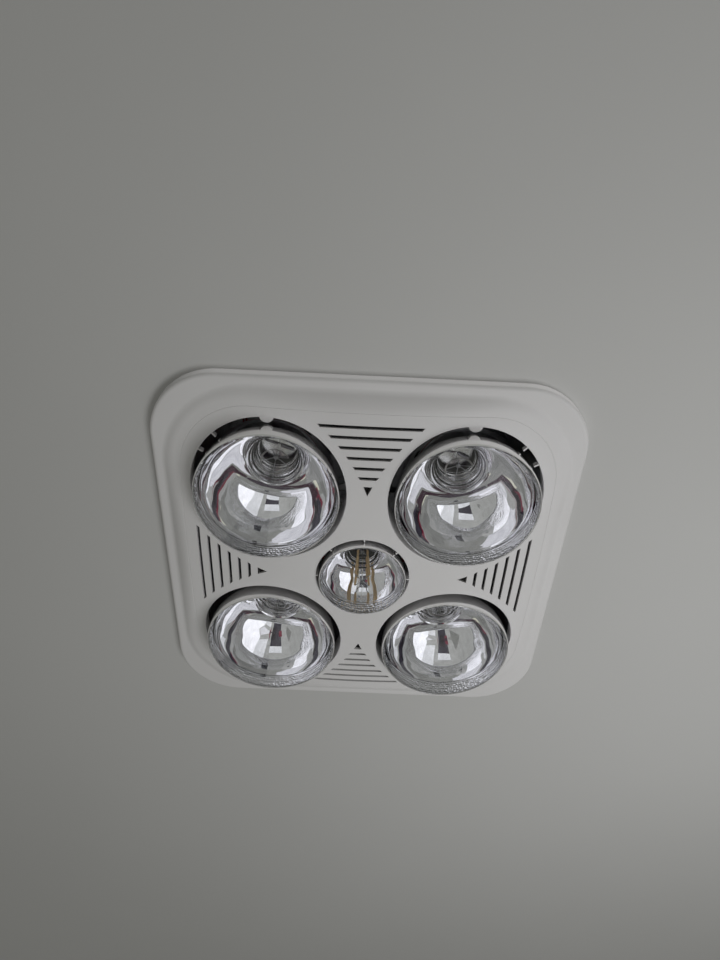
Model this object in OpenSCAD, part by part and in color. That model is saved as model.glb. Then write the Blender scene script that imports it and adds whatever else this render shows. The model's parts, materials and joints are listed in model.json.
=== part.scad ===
// Ceiling unit with four heat lamps, one light and an exhaust fan.
// The origin is the middle of the panel on the underside of the ceiling; +Z points up
// into the ceiling void, so the panel and the lamp faces lie below zero.

/* [Panel] */
// Width and depth of the square panel
panel_w = 373; // [366:1:390]
// Radius of the panel's corners, seen from below
panel_corner_r = 60; // [52:1:70]
// Height of the panel's rim below the ceiling
rim_h = 10.4; // [9:0.1:12]
// Radius of the rounded lower edge of the rim
rim_edge_r = 3.5; // [2:0.5:5]
// Wall thickness of the moulded panel
panel_wall = 2.4; // [2:0.1:2.8]
// Width of the flat flange between the rim and the foot of the raised face
flange_w = 9.5; // [8:0.5:12]
// Corner radius of the foot of the raised face
step_corner_r = 78; // [66:1:90]
// Depth of the middle of the domed face below the ceiling
face_depth = 33.6; // [32:0.1:35]
// Radius of the domed face
face_r = 1082; // [950:1:1300]
// Distance from the foot of the raised face to the moulded line on it
line_inset = 14.2; // [13:0.1:16]
// Width of the moulded line
line_w = 0.9; // [0.6:0.1:1.2]
// Depth of the moulded line
line_depth = 0.7; // [0.4:0.1:1]

/* [Lamp places] */
// Distance of each heat lamp's axis from the two middle planes
lamp_at = 85.8; // [84:0.1:88]
// Radius of the panel's four large openings
heat_opening_r = 68; // [66.5:0.1:69]
// Radius of the panel's middle opening
light_opening_r = 43.1; // [42.5:0.1:44]
// Wall thickness of the collar round each opening
collar_wall = 1.8; // [1.5:0.1:2.2]
// Height of the collars' upper edge below the ceiling
collar_top = 6; // [5:0.5:8]
// Width of the round tab at the outer side of each large opening
tab_w = 12; // [9:0.5:13]
// Reach of that tab into the opening
tab_reach = 4.9; // [3:0.1:5.1]
// How far the tabs and ribs stand back from the panel's face
trim_set = 0.4; // [0.2:0.1:1.5]
// Thickness of the thin ribs in the openings
rib_t = 1.2; // [1:0.1:1.6]
// Reach of the thin ribs into the large openings
heat_rib_reach = 4.4; // [3:0.1:4.6]
// Reach of the thin ribs into the middle opening
light_rib_reach = 2.3; // [1.5:0.1:2.4]

/* [Air slots] */
// Number of slots in each of the four groups
slot_count = 6; // [4:1:6]
// Distance of the outermost slot from the middle
slot_first = 150.4; // [149:0.1:151]
// Distance from one slot to the next
slot_pitch = 9.1; // [8.8:0.1:9.3]
// Width of a slot
slot_w = 2.8; // [2.4:0.1:3.2]
// Half the length of the outermost slot
slot_half = 43.2; // [41:0.1:44]
// How much shorter the second slot's half is than the first's
slot_shorter = 9.3; // [9:0.1:9.6]
// How much less each next slot shortens
slot_ease = 1.14; // [1:0.02:1.2]
// Half the width of the small triangle at the end of each group
arrow_half = 4; // [3:0.1:4.4]
// Length of that triangle
arrow_l = 9; // [8:0.1:10]

/* [Heat lamps] */
// Radius of a heat lamp
heat_r = 62.5; // [62:0.1:63]
// Length of a heat lamp with its cap
heat_l = 181; // [178:1:184]
// Room between a heat lampholder and the roof, which sets how low the heat lamps hang
head_room = 12; // [10.5:0.1:14]
// Radius of a heat lamp's neck
heat_neck_r = 19.5; // [18.5:0.1:20]
// Length of a heat lamp's reflector bowl
heat_bowl_l = 84; // [80:1:88]

/* [Light lamp] */
// Radius of the light's lamp
light_r = 40; // [39.5:0.1:40.3]
// Length of the light's lamp with its cap
light_l = 115; // [113:1:116]
// Room between the light's holder and the fan above it, which sets how low the light hangs
light_room = 7; // [6:0.1:9]
// Radius of the light's neck
light_neck_r = 15; // [14.4:0.1:16]
// Length of the light's reflector bowl
light_bowl_l = 46; // [42:1:48]
// Wall thickness of every lamp's glass
glass_wall = 1; // [0.8:0.1:1.4]

/* [Screw caps and holders] */
// Crest radius of a lamp's screw cap
cap_r = 13.05; // [12.9:0.01:13.2]
// Length of a lamp's screw cap
cap_l = 26; // [25:0.5:28]
// Pitch of the screw cap's thread
cap_pitch = 3.6; // [3.4:0.1:3.7]
// Depth of that thread
cap_thread = 0.8; // [0.6:0.1:1]
// Free space round a cap in its holder
cap_clear = 0.35; // [0.3:0.05:0.5]
// Outer radius of a ceramic lampholder
holder_r = 20; // [19:0.5:22]
// Depth of a lampholder's mouth
holder_mouth = 22.5; // [20:0.5:24]
// Height of a lampholder above the lamp's tip
holder_back = 25.5; // [24:0.5:26]

/* [Housing] */
// Width and depth of the steel housing above the ceiling
box_w = 312; // [310:1:314]
// Height of the housing's roof above the ceiling
box_h = 169.2; // [167.5:0.1:172]
// Thickness of the housing's sheet
sheet = 1.2; // [1:0.1:1.3]
// Width of the fixing lip's outline under the ceiling
lip_w = 356; // [354:1:358]
// Corner radius of the fixing lip
lip_corner_r = 50; // [48:1:56]
// Spacing of the ceiling screws along X
fix_x = 240; // [220:1:250]
// Spacing of the ceiling screws along Y
fix_y = 334; // [333:1:336]
// Radius of the ceiling screw holes
fix_r = 2.6; // [2.2:0.1:3]

/* [Exhaust fan] */
// X of the fan's axis
fan_x = -8; // [-9:0.5:-7]
// Y of the fan's axis
fan_y = 22; // [21:0.5:23]
// Radius of the fan wheel
wheel_r = 52; // [50:0.5:52.5]
// Height of the fan wheel
wheel_h = 52; // [48:1:53]
// Number of blades on the fan wheel
blade_count = 30; // [20:1:36]
// Radial depth of a blade
blade_d = 9; // [8:0.5:10]
// Thickness of a blade
blade_t = 0.8; // [0.6:0.1:1]
// Room between the fan wheel and the scroll's floor
wheel_room = 4.5; // [4:0.1:5.5]
// Radius of the scroll where it starts
scroll_r1 = 57; // [56:0.5:58]
// Radius of the scroll where it turns into the outlet
scroll_r2 = 82; // [80:0.5:82.5]
// Width of the scroll's outlet
outlet_w = 70; // [66:1:70]
// Radius of the shaft
shaft_r = 4; // [3.5:0.1:4.5]
// Running clearance of the shaft in its bearings
shaft_run = 0.05; // [0.02:0.01:0.09]
// Radius of the motor's casing
motor_r = 42; // [40:0.5:44]
// Height of the motor above its rubber feet
motor_h = 42; // [40:1:46]

/* [Duct outlet] */
// Outer radius of the round duct spigot
spigot_r = 49.5; // [48.5:0.1:49.6]
// Length of the round duct spigot
spigot_l = 45; // [44:1:60]
// Wall thickness of the duct outlet
spigot_wall = 2; // [1.8:0.1:2.3]
// Width and height of the box behind the spigot
spigot_box = 104; // [103:0.5:105]
// Depth of that box
spigot_box_d = 28; // [20:1:32]
// Radius of the back-draught flap
flap_r = 44.5; // [43:0.1:44.8]
// Height of the flap's pin above the spigot's axis
flap_up = 12; // [10:0.5:12.5]
// Radius of the flap's pin
flap_pin_r = 1.5; // [1.2:0.1:1.8]

/* [Wiring] */
// Length of the terminal box along Y
term_l = 92; // [88:1:96]
// Width of the terminal box along X
term_w = 56; // [54:1:58]
// Height of the terminal box
term_h = 34; // [30:1:38]
// X of the terminal box's middle
term_x = -118; // [-119:0.5:-117]
// Radius of the mains cable's way through the gland
gland_bore_r = 5; // [4:0.1:5.5]
// Radius of one internal lead over its sleeve
lead_r = 1.2; // [1:0.1:1.3]

/* [Hidden] */
$fn = 96;
eps = 0.01;
seat_gap = 0.3;
fit_gap = 0.1;
plan = [[-1, -1], [1, -1], [-1, 1], [1, 1]];
lamp_names = ["near_left", "near_right", "far_left", "far_right"];
roof_in = box_h - sheet;
wheel_top = roof_in - 10;
wheel_low = wheel_top - wheel_h;
scroll_floor = wheel_low - wheel_room;
spigot_z = roof_in - spigot_box / 2;
heat_tip = roof_in - head_room - holder_back;
light_tip = scroll_floor - light_room - holder_back;
heat_front = heat_l - heat_tip;
light_front = light_l - light_tip;
inner_half = box_w / 2 - sheet;
panel_half = panel_w / 2;
step_half = panel_half - flange_w;
face_centre = face_r - face_depth;
clip_at = lamp_at + (heat_opening_r + 8) / sqrt(2);
light_rib_set = 1.2;
clip_w = 14;
clip_t = 0.8;
clip_bulge = 2.6;
clip_low = clip_at * clip_at / face_r - face_depth + panel_wall + 1;
clip_socket_top = -sheet - 2.3;
gusset_r = heat_opening_r + 3;
eye_r = wheel_r - blade_d + 1.3;
motor_floor = box_h + 4;
shaft_low = wheel_top - 27;
spigot_y = fan_y - scroll_r2 + outlet_w / 2;
spigot_x = box_w / 2;
flap_x = spigot_x + spigot_box_d + 21;
flap_t = 1.6;
lead_z = roof_in - 5;
lead_end_r = holder_r - 5 + seat_gap;
port_x = term_x - 4;
cap_x = 62;
cap_y = 104;

steel = "silver";
cream = "ghostwhite";
black = "dimgray";
brass = "goldenrod";

// Points of an arc about a centre, from one angle to another
function arc(c, r, from, to, n) =
    [for (i = [0:n]) let (a = from + (to - from) * i / n) c + r * [cos(a), sin(a)]];

// A cubic curve between two points
function bend(a, b, c, d, n) =
    [for (i = [0:n]) let (t = i / n)
        pow(1 - t, 3) * a + 3 * t * pow(1 - t, 2) * b + 3 * t * t * (1 - t) * c + pow(t, 3) * d];

function unit(v) = v / norm(v);

// Rounds the corners of a route by cutting each one twice
function cut_corners(p) =
    concat([p[0]],
        [for (i = [0:len(p) - 2], t = [0.25, 0.75]) p[i] * (1 - t) + p[i + 1] * t],
        [p[len(p) - 1]]);

function tangents(p) =
    [for (i = [0:len(p) - 1]) unit(p[min(i + 1, len(p) - 1)] - p[max(i - 1, 0)])];

function side_ways(t, i, last) =
    i == len(t) ? []
    : let (s = unit(last - (last * t[i]) * t[i])) concat([s], side_ways(t, i + 1, s));

// A tube along a route, with flat ends
module tube_along(route, r, sides = 8) {
    p = cut_corners(cut_corners(route));
    t = tangents(p);
    first = abs(t[0][2]) > 0.7 ? [1, 0, 0] : [0, 0, 1];
    s = side_ways(t, 0, first);
    n = len(p);
    rings = [for (i = [0:n - 1], k = [0:sides - 1])
        let (a = 360 * k / sides, up = cross(t[i], s[i])) p[i] + r * (cos(a) * s[i] + sin(a) * up)];
    skin = [for (i = [0:n - 2], k = [0:sides - 1])
        let (m = (k + 1) % sides)
        [i * sides + k, (i + 1) * sides + k, (i + 1) * sides + m, i * sides + m]];
    low = [[for (k = [0:sides - 1]) k]];
    high = [[for (k = [sides - 1:-1:0]) (n - 1) * sides + k]];
    polyhedron(concat(rings), concat(skin, low, high), convexity = 6);
}

// A square solid with round corners; each profile point is [inset from the outline, z].
// The insets are rounded, so that the corners and the straight sides meet exactly.
module soft_square(half, corner, profile) {
    core = half - corner;
    side = [for (p = profile) [round(p[0] * 1000) / 1000, p[1]]];
    top = side[0][1];
    foot = side[len(side) - 1][1];
    for (x = [-core, core], y = [-core, core])
        translate([x, y, 0])
            rotate_extrude()
                polygon(concat([[0, foot], [0, top]], [for (p = side) [corner - p[0], p[1]]]));
    for (turn = [0, 90])
        rotate([0, 0, turn])
            rotate([90, 0, 0])
                linear_extrude(2 * core, center = true)
                    polygon(concat([for (p = side) [half - p[0], p[1]]],
                        [for (i = [len(side) - 1:-1:0]) [side[i][0] - half, side[i][1]]]));
}

// A flat plate with round corners
module plate(w, d, r, h) {
    linear_extrude(h) {
        square([w - 2 * r, d], center = true);
        square([w, d - 2 * r], center = true);
        for (x = [-1, 1], y = [-1, 1])
            translate([x * (w / 2 - r), y * (d / 2 - r)]) circle(r);
    }
}

module ring(r_out, r_in, h) {
    difference() {
        cylinder(h = h, r = r_out);
        translate([0, 0, -1]) cylinder(h = h + 2, r = r_in);
    }
}

module pan_screw(r, l, head_r = 3.6, head_h = 2.2) {
    translate([0, 0, -l]) cylinder(h = l + eps, r = r);
    cylinder(h = head_h * 0.5, r = head_r);
    translate([0, 0, head_h * 0.5]) cylinder(h = head_h * 0.5, r1 = head_r, r2 = head_r * 0.7);
}

module at_lamp(i) translate([plan[i][0] * lamp_at, plan[i][1] * lamp_at, 0]) children();

module at_lamps() for (i = [0:3]) at_lamp(i) children();

module at_fan() translate([fan_x, fan_y, 0]) children();

// Panel

module dome(inset) translate([0, 0, face_centre]) sphere(face_r - inset, $fn = 360);

// The space that the panel's outside fills, drawn in by a wall thickness
module panel_space(inset) {
    edge = rim_edge_r - inset * 0.5;
    low = inset - rim_h;
    soft_square(panel_half - inset, panel_corner_r - inset,
        concat([[0, inset > 0 ? 1 : 0]],
            [for (p = arc([edge, low + edge], edge, 180, 270, 5)) p]));
    slope = inset * (sqrt(2) - 1);
    drop = face_depth - rim_h + inset + 2;
    intersection() {
        soft_square(step_half, step_corner_r, [[slope, low + 1], [slope, low], [slope + drop, low - drop]]);
        dome(inset);
    }
}

module slot_cut(k) {
    half = slot_half - k * slot_shorter + slot_ease * k * (k - 1) / 2;
    d = slot_first - k * slot_pitch;
    slant = 1.2;
    translate([0, 0, -face_depth - 5])
        linear_extrude(face_depth)
            polygon([[-half - slant, -d - slot_w / 2], [half + slant, -d - slot_w / 2],
                [half - slant, -d + slot_w / 2], [-half + slant, -d + slot_w / 2]]);
}

module arrow_cut() {
    d = slot_first - slot_count * slot_pitch + slot_w / 2;
    translate([0, 0, -face_depth - 5])
        linear_extrude(face_depth)
            polygon([[-arrow_half, -d], [arrow_half, -d], [0, arrow_l - d]]);
}

// Round tab and two thin ribs inside a large opening, on its outer side and just behind the face
module opening_trim(i) {
    sx = plan[i][0];
    sy = plan[i][1];
    top = -collar_top - 6;
    intersection() {
        at_lamp(i) intersection() {
            union() {
                translate([0, sy * (heat_opening_r - tab_reach + tab_w / 2), -face_depth])
                    cylinder(h = top + face_depth, r = tab_w / 2);
                for (a = [30, 47])
                    rotate([0, 0, atan2(sy * sin(a), sx * cos(a))])
                        translate([heat_opening_r - heat_rib_reach, -rib_t / 2, -face_depth])
                            cube([heat_rib_reach + 1, rib_t, top + face_depth]);
            }
            translate([0, 0, -face_depth - 1])
                cylinder(h = top + face_depth + 2, r = heat_opening_r + collar_wall / 2);
        }
        dome(trim_set);
    }
}

module collar(r) translate([0, 0, -face_depth]) cylinder(h = face_depth - collar_top, r = r + collar_wall);

module fascia() {
    color(cream) {
        difference() {
            union() {
                difference() {
                    panel_space(0);
                    panel_space(panel_wall);
                }
                intersection() {
                    union() {
                        at_lamps() collar(heat_opening_r);
                        collar(light_opening_r);
                        for (i = [0:3]) clip_boss(i);
                        for (turn = [0:90:270], x = [-60, 60])
                            rotate([0, 0, turn])
                                translate([x, box_w / 2 + 5, -face_depth])
                                    cylinder(h = face_depth - sheet - seat_gap, r = 3);
                    }
                    dome(panel_wall / 2);
                }
            }
            at_lamps() translate([0, 0, -face_depth - 5]) cylinder(h = face_depth + 5, r = heat_opening_r);
            translate([0, 0, -face_depth - 5]) cylinder(h = face_depth + 5, r = light_opening_r);
            for (turn = [0:90:270])
                rotate([0, 0, turn]) {
                    for (k = [0:slot_count - 1]) slot_cut(k);
                    arrow_cut();
                }
            for (i = [0:3]) clip_socket(i);
            moulded_line();
        }
        for (i = [0:3]) opening_trim(i);
        for (k = [0:7])
            rotate([0, 0, k * 45])
                translate([light_opening_r - light_rib_reach, -rib_t / 2, -face_depth + light_rib_set])
                    cube([light_rib_reach + collar_wall / 2, rib_t,
                        face_depth - light_rib_set - collar_top - 4]);
    }
}

// Thin groove that follows the raised face just inside its crest
module moulded_line() {
    at = line_inset;
    difference() {
        soft_square(step_half, step_corner_r, [[at, 0], [at, -face_depth - 1]]);
        soft_square(step_half, step_corner_r, [[at + line_w, 1], [at + line_w, -face_depth - 2]]);
        dome(line_depth);
    }
}

module at_clip(i)
    translate([plan[i][0] * clip_at, plan[i][1] * clip_at, 0])
        rotate([0, 0, atan2(plan[i][1], plan[i][0])]) children();

module clip_boss(i)
    at_clip(i)
        translate([-3, -clip_w / 2 - 2, -face_depth]) cube([6, clip_w + 4, face_depth + clip_socket_top]);

module clip_socket(i)
    at_clip(i) translate([-clip_t / 2, -clip_w / 2, clip_low]) cube([clip_t, clip_w, 20]);

module fascia_clips()
    color(steel)
        for (i = [0:3])
            at_clip(i)
                rotate([90, 0, 0])
                    linear_extrude(clip_w, center = true)
                        clip_outline();

// Side view of a leaf clip: straight foot, outward bulge and a lead-in tip
module clip_outline() {
    h = clip_t / 2;
    b = clip_bulge;
    polygon([[-h, clip_low], [h, clip_low], [h, 1], [h + b, 6], [h, 11], [h - b * 0.6, 13],
        [-h - b * 0.6, 12.4], [-h, 10.4], [b - h, 6], [-h, 1.4]]);
}

// Housing

module housing_shell() {
    corner = 4;
    color(steel)
        difference() {
            union() {
                difference() {
                    union() {
                        plate(box_w, box_w, corner, box_h);
                        translate([0, 0, -sheet]) plate(lip_w, lip_w, lip_corner_r, sheet);
                    }
                    translate([0, 0, -sheet - 1])
                        plate(inner_half * 2, inner_half * 2, corner - sheet, roof_in + sheet + 1);
                }
                for (i = [0:3]) corner_gusset(i);
            }
            for (x = [-1, 1], y = [-1, 1])
                translate([x * fix_x / 2, y * fix_y / 2, -sheet - 1]) cylinder(h = sheet + 2, r = fix_r);
            for (i = [0:3])
                at_clip(i)
                    translate([-clip_t / 2 - clip_bulge - seat_gap, -clip_w / 2 - seat_gap, -sheet - 1])
                        cube([clip_t + 2 * clip_bulge + 2 * seat_gap, clip_w + 2 * seat_gap, sheet + 2]);
            outlet_hole();
            at_fan() translate([0, 0, roof_in - 1]) cylinder(h = sheet + 2, r = shaft_r + 6);
            motor_foot_places(roof_in - 1) cylinder(h = sheet + 2, r = 2.2);
            translate([port_x, 0, roof_in - 1]) cylinder(h = sheet + 2, r = 9);
            bracket_screw_places(roof_in - 1) cylinder(h = sheet + 2, r = screw_hole_r);
            spigot_screw_places(inner_half - 1) cylinder(h = sheet + 2, r = screw_hole_r);
            strap_screw_places(inner_half - 1) cylinder(h = sheet + 2, r = screw_hole_r);
        }
}

// Plate across each corner of the mouth, with the slot that the panel's clip enters
module corner_gusset(i) {
    sx = plan[i][0];
    sy = plan[i][1];
    size = inner_half - lamp_at + 1;
    difference() {
        translate([sx > 0 ? lamp_at : -inner_half - 1, sy > 0 ? lamp_at : -inner_half - 1, -sheet])
            cube([size, size, sheet]);
        at_lamp(i) translate([0, 0, -sheet - 1]) cylinder(h = sheet + 2, r = gusset_r);
    }
}

outlet_hole_h = roof_in - scroll_floor - 2 * sheet - 4;

module outlet_hole()
    translate([inner_half - 1, spigot_y - outlet_w / 2 + sheet, scroll_floor + sheet + 2])
        cube([sheet + 2, outlet_w - 2 * sheet, outlet_hole_h]);

// Lampholders

holder_screw_at = 11;
holder_screw_r = 1.7;
screw_hole_r = 2.1;

module holder_screw_places(z) for (x = [-1, 1]) translate([x * holder_screw_at, 0, z]) children();

module holder(tip) {
    mouth = tip - holder_mouth;
    top = tip + holder_back;
    bore = cap_r + cap_clear + 0.6 + fit_gap + cap_thread;
    color("linen")
        translate([0, 0, mouth])
            difference() {
                rotate_extrude()
                    polygon(concat(
                        [[0, 0], [holder_r - 1.5, 0]],
                        arc([holder_r - 1.5, 1.5], 1.5, 270, 360, 4),
                        [[holder_r, 30], [holder_r - 2, 33]],
                        [[holder_r - 2, top - mouth], [0, top - mouth]]));
                translate([0, 0, -1]) cylinder(h = tip - mouth + 5, r = bore);
                holder_screw_places(top - mouth - 12) cylinder(h = 13, r = holder_screw_r + fit_gap);
                for (turn = [0:90:270])
                    rotate([0, 0, turn])
                        along_x(lead_end_r - seat_gap, 0, top - mouth - 8) cylinder(h = 9, r = 3);
            }
}

// Threaded sleeve and sprung centre contact inside a holder
module holder_contacts(tip) {
    mouth = tip - holder_mouth;
    r = cap_r + cap_clear;
    rings = floor((holder_mouth - 2) / cap_pitch);
    wave = [for (k = [0:rings - 1], q = [0, 1]) [q * cap_thread, 1 + (k + q * 0.5) * cap_pitch]];
    last = 1 + rings * cap_pitch;
    color(brass)
        translate([0, 0, mouth]) {
            rotate_extrude()
                polygon(concat(
                    [for (w = wave) [r + w[0], w[1]]], [[r, last]], [[r + 0.6, last]],
                    [for (i = [len(wave) - 1:-1:0]) [r + 0.6 + wave[i][0], wave[i][1]]]));
            translate([0, 0, holder_mouth + seat_gap]) cylinder(h = 0.7, r = 4);
            translate([0, 0, holder_mouth + seat_gap + 0.7 - eps])
                cylinder(h = 4 - seat_gap - 0.7 + eps, r = 2);
            translate([r - 1, -3, last - eps]) cube([1.6, 6, holder_mouth + 4 - last + eps]);
        }
}

bracket_half = 28;
bracket_w = 18;
bracket_foot = 10;
strap_w = 24;
strap_end_h = 14;

module bracket_screw_places(z)
    at_lamps() for (x = [-1, 1]) translate([x * (bracket_half - bracket_foot / 2), 0, z]) children();

// Steel straps that hang the four heat lampholders under the roof
module holder_brackets() {
    low = heat_tip + holder_back;
    seat = 2 * (bracket_half - bracket_foot);
    color(steel)
        difference() {
            at_lamps() {
                for (turn = [0, 180])
                    rotate([0, 0, turn]) {
                        translate([seat / 2, -bracket_w / 2, roof_in - sheet])
                            cube([bracket_foot, bracket_w, sheet]);
                        translate([seat / 2 - sheet, -bracket_w / 2, low])
                            cube([sheet, bracket_w, roof_in - low]);
                    }
                translate([-seat / 2, -bracket_w / 2, low]) cube([seat, bracket_w, sheet]);
            }
            at_lamps() holder_screw_places(low - 1) cylinder(h = sheet + 2, r = screw_hole_r);
            bracket_screw_places(roof_in - sheet - 1) cylinder(h = sheet + 2, r = screw_hole_r);
        }
}

// Places of the screws that hold the ends of the light's strap, with +Z pointing out of the housing
module strap_screw_places(at)
    for (turn = [0, 180])
        rotate([0, 0, turn]) along_x(at, 0, light_tip + holder_back - strap_end_h / 2) children();

// Strap across the housing that carries the light's holder
module light_bracket() {
    low = light_tip + holder_back;
    color(steel)
        difference() {
            union() {
                translate([-inner_half, -strap_w / 2, low]) cube([2 * inner_half, strap_w, sheet]);
                for (turn = [0, 180])
                    rotate([0, 0, turn])
                        translate([inner_half - sheet, -strap_w / 2, low - strap_end_h])
                            cube([sheet, strap_w, strap_end_h + sheet]);
            }
            holder_screw_places(low - 1) cylinder(h = sheet + 2, r = screw_hole_r);
            strap_screw_places(inner_half - sheet - 1) cylinder(h = sheet + 2, r = screw_hole_r);
        }
}

module holder_screws()
    color(steel) {
        at_lamps() holder_screw_places(heat_tip + holder_back + sheet) pan_screw(holder_screw_r, 10);
        holder_screw_places(light_tip + holder_back + sheet) pan_screw(holder_screw_r, 10);
    }

// Fan

function scroll_points(t) =
    let (turn = 300, n = 30)
    concat(
        [for (i = [0:n])
            let (a = -30 + turn * i / n, r = scroll_r1 + (scroll_r2 - scroll_r1) * i / n + t)
            [fan_x + r * cos(a), fan_y + r * sin(a)]],
        [[inner_half, fan_y - scroll_r2 - t], [inner_half, fan_y - scroll_r2 + outlet_w + t]]);

module fan_scroll()
    color(steel)
        difference() {
            translate([0, 0, scroll_floor])
                linear_extrude(roof_in - scroll_floor) polygon(scroll_points(0));
            translate([0, 0, scroll_floor + sheet])
                linear_extrude(roof_in - scroll_floor) polygon(scroll_points(-sheet));
            translate([inner_half - 1, spigot_y - outlet_w / 2 + sheet, scroll_floor + sheet])
                cube([2, outlet_w - 2 * sheet, roof_in]);
            at_fan() translate([0, 0, scroll_floor - 1]) cylinder(h = sheet + 2, r = eye_r);
        }

// Bell mouth under the scroll's floor
module inlet_ring() {
    roll = 3;
    top = roll + 4;
    color(steel)
        at_fan()
            translate([0, 0, scroll_floor])
                rotate_extrude()
                    polygon(concat(
                        [[eye_r + 6, -sheet], [eye_r + 6, 0]],
                        arc([eye_r, roll], roll, 270, 180, 6),
                        [[eye_r - roll, top], [eye_r - roll - sheet, top]],
                        arc([eye_r, roll], roll + sheet, 180, 270, 6)));
}

module fan_wheel() {
    r_in = wheel_r - blade_d;
    color("gainsboro")
        at_fan() {
            difference() {
                union() {
                    translate([0, 0, wheel_top - 1.5]) cylinder(h = 1.5, r = wheel_r);
                    translate([0, 0, wheel_top - 22]) cylinder(h = 21, r = 9);
                }
                translate([0, 0, wheel_top - 30]) cylinder(h = 40, r = shaft_r + 0.02);
            }
            translate([0, 0, wheel_low]) ring(wheel_r, wheel_r - 6.5, 2);
            for (k = [0:blade_count - 1])
                rotate([0, 0, 360 * k / blade_count])
                    translate([0, 0, wheel_low + 1])
                        linear_extrude(wheel_h - 2)
                            blade_outline(r_in + 0.2, wheel_r - 0.6);
        }
}

// Forward-curved blade between two radii
module blade_outline(r1, r2) {
    sweep = 9;
    mid = (r1 + r2) / 2;
    tip = [r2 * cos(sweep), r2 * sin(sweep)];
    belly = [mid * cos(sweep * 0.28), mid * sin(sweep * 0.28)];
    outer = bend([r1, 0], belly, belly, tip, 5);
    inner = [for (i = [5:-1:0]) outer[i] + blade_t * [0.45, -0.9]];
    polygon(concat(outer, inner));
}

module motor_shaft()
    color(steel)
        at_fan()
            translate([0, 0, shaft_low]) cylinder(h = motor_floor + motor_h - 3 - shaft_low, r = shaft_r);

module wheel_nut()
    color(brass)
        at_fan()
            translate([0, 0, wheel_top - 22 - 5])
                difference() {
                    cylinder(h = 5, r = 7.5, $fn = 6);
                    translate([0, 0, -1]) cylinder(h = 7, r = shaft_r + 0.02);
                }

// Motor

bearing_r = 11;
bearing_h = 5;
seat_r = bearing_r + fit_gap;
stator_low = motor_floor + 9;
stator_h = motor_h - 18;
stator_r_in = 24;
rotor_gap = 0.4;
winding_r_in = 27;
winding_r_out = 37;
winding_h = 4;

module motor_foot_places(z)
    at_fan() for (a = [0, 120, 240]) rotate([0, 0, a]) translate([motor_r + 8, 0, z]) children();

module motor_casing() {
    t = 1.5;
    mid = motor_h / 2 - 2;
    color(steel)
        difference() {
            union() {
                at_fan()
                    translate([0, 0, motor_floor])
                        rotate_extrude()
                            polygon([[shaft_r + 3, 0], [motor_r, 0], [motor_r, mid], [motor_r - t, mid],
                                [motor_r - t, t], [seat_r + t, t], [seat_r + t, t + bearing_h],
                                [seat_r, t + bearing_h], [seat_r, t], [shaft_r + 3, t]]);
                motor_foot_places(motor_floor) {
                    cylinder(h = t, r = 7);
                    translate([-10, -7, 0]) cube([10, 14, t]);
                }
            }
            at_fan() translate([0, 0, motor_floor + t]) cylinder(h = mid, r = seat_r);
            at_fan()
                translate([0, 0, motor_floor + t])
                    difference() {
                        cylinder(h = mid, r = motor_r - t);
                        cylinder(h = mid, r = seat_r + t);
                    }
            motor_foot_places(motor_floor - 1) cylinder(h = t + 2, r = 2.2);
        }
}

module motor_end_cap() {
    t = 1.5;
    mid = motor_h / 2 - 2;
    top = motor_h - t;
    color(steel)
        difference() {
            at_fan()
                translate([0, 0, motor_floor])
                    rotate_extrude()
                        polygon(concat(
                            [[motor_r - t, mid], [motor_r, mid]],
                            arc([motor_r - 5, motor_h - 5], 5, 0, 90, 5),
                            [[0, motor_h], [0, top], [seat_r, top], [seat_r, top - bearing_h],
                             [seat_r + t, top - bearing_h], [seat_r + t, top]],
                            arc([motor_r - 5, motor_h - 5], 5 - t, 90, 0, 5)));
            at_fan()
                for (a = [0:30:330])
                    rotate([0, 0, a])
                        translate([23, -1.5, motor_floor + motor_h - 4]) cube([10, 3, 6]);
        }
}

module motor_stator()
    color("gray")
        at_fan() translate([0, 0, stator_low]) ring(motor_r - 1.5 - fit_gap, stator_r_in, stator_h);

module motor_windings()
    color("peru")
        at_fan()
            translate([0, 0, stator_low]) {
                mirror([0, 0, 1]) winding_ring(winding_r_in, winding_r_out, winding_h);
                translate([0, 0, stator_h]) winding_ring(winding_r_in, winding_r_out, winding_h);
            }

module winding_ring(r_in, r_out, h)
    rotate_extrude()
        polygon([[r_in, 0], [r_out, 0], [r_out, h - 1], [r_out - 1, h], [r_in + 1, h], [r_in, h - 1]]);

module motor_rotor()
    color("gray")
        at_fan() translate([0, 0, stator_low]) ring(stator_r_in - rotor_gap, shaft_r + 0.02, stator_h);

module motor_bearings()
    color(steel)
        at_fan()
            for (z = [motor_floor + 1.5, motor_floor + motor_h - 1.5 - bearing_h])
                translate([0, 0, z]) ring(bearing_r, shaft_r + shaft_run, bearing_h);

module motor_feet()
    color(black) motor_foot_places(box_h) ring(6, 2.2, motor_floor - box_h);

module motor_screws()
    color(steel)
        motor_foot_places(motor_floor + 1.5) pan_screw(2, motor_floor - box_h + 1.5 + sheet + 3, 4, 2.6);

module run_capacitor()
    color(black)
        translate([cap_x, cap_y, box_h]) {
            translate([-19, -10, 0]) cube([38, 20, 27]);
            translate([19 - eps, -6, 0]) cube([9, 12, 2]);
        }

module thermal_cutout()
    color(black)
        translate([-30, -108, roof_in]) {
            translate([-13, -8, -1]) cube([26, 16, 1]);
            translate([0, 0, -10]) cylinder(h = 10, r = 8);
            for (x = [-5, 5]) translate([x - 0.4, -3, -17]) cube([0.8, 6, 8]);
        }

// Duct outlet

module along_x(x, y, z) translate([x, y, z]) rotate([0, 90, 0]) children();

// Places of the duct outlet's screws, with +Z pointing out of the housing
module spigot_screw_places(x)
    for (y = [-1, 1]) along_x(x, spigot_y + y * (spigot_box / 2 + 6), spigot_z) children();

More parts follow.
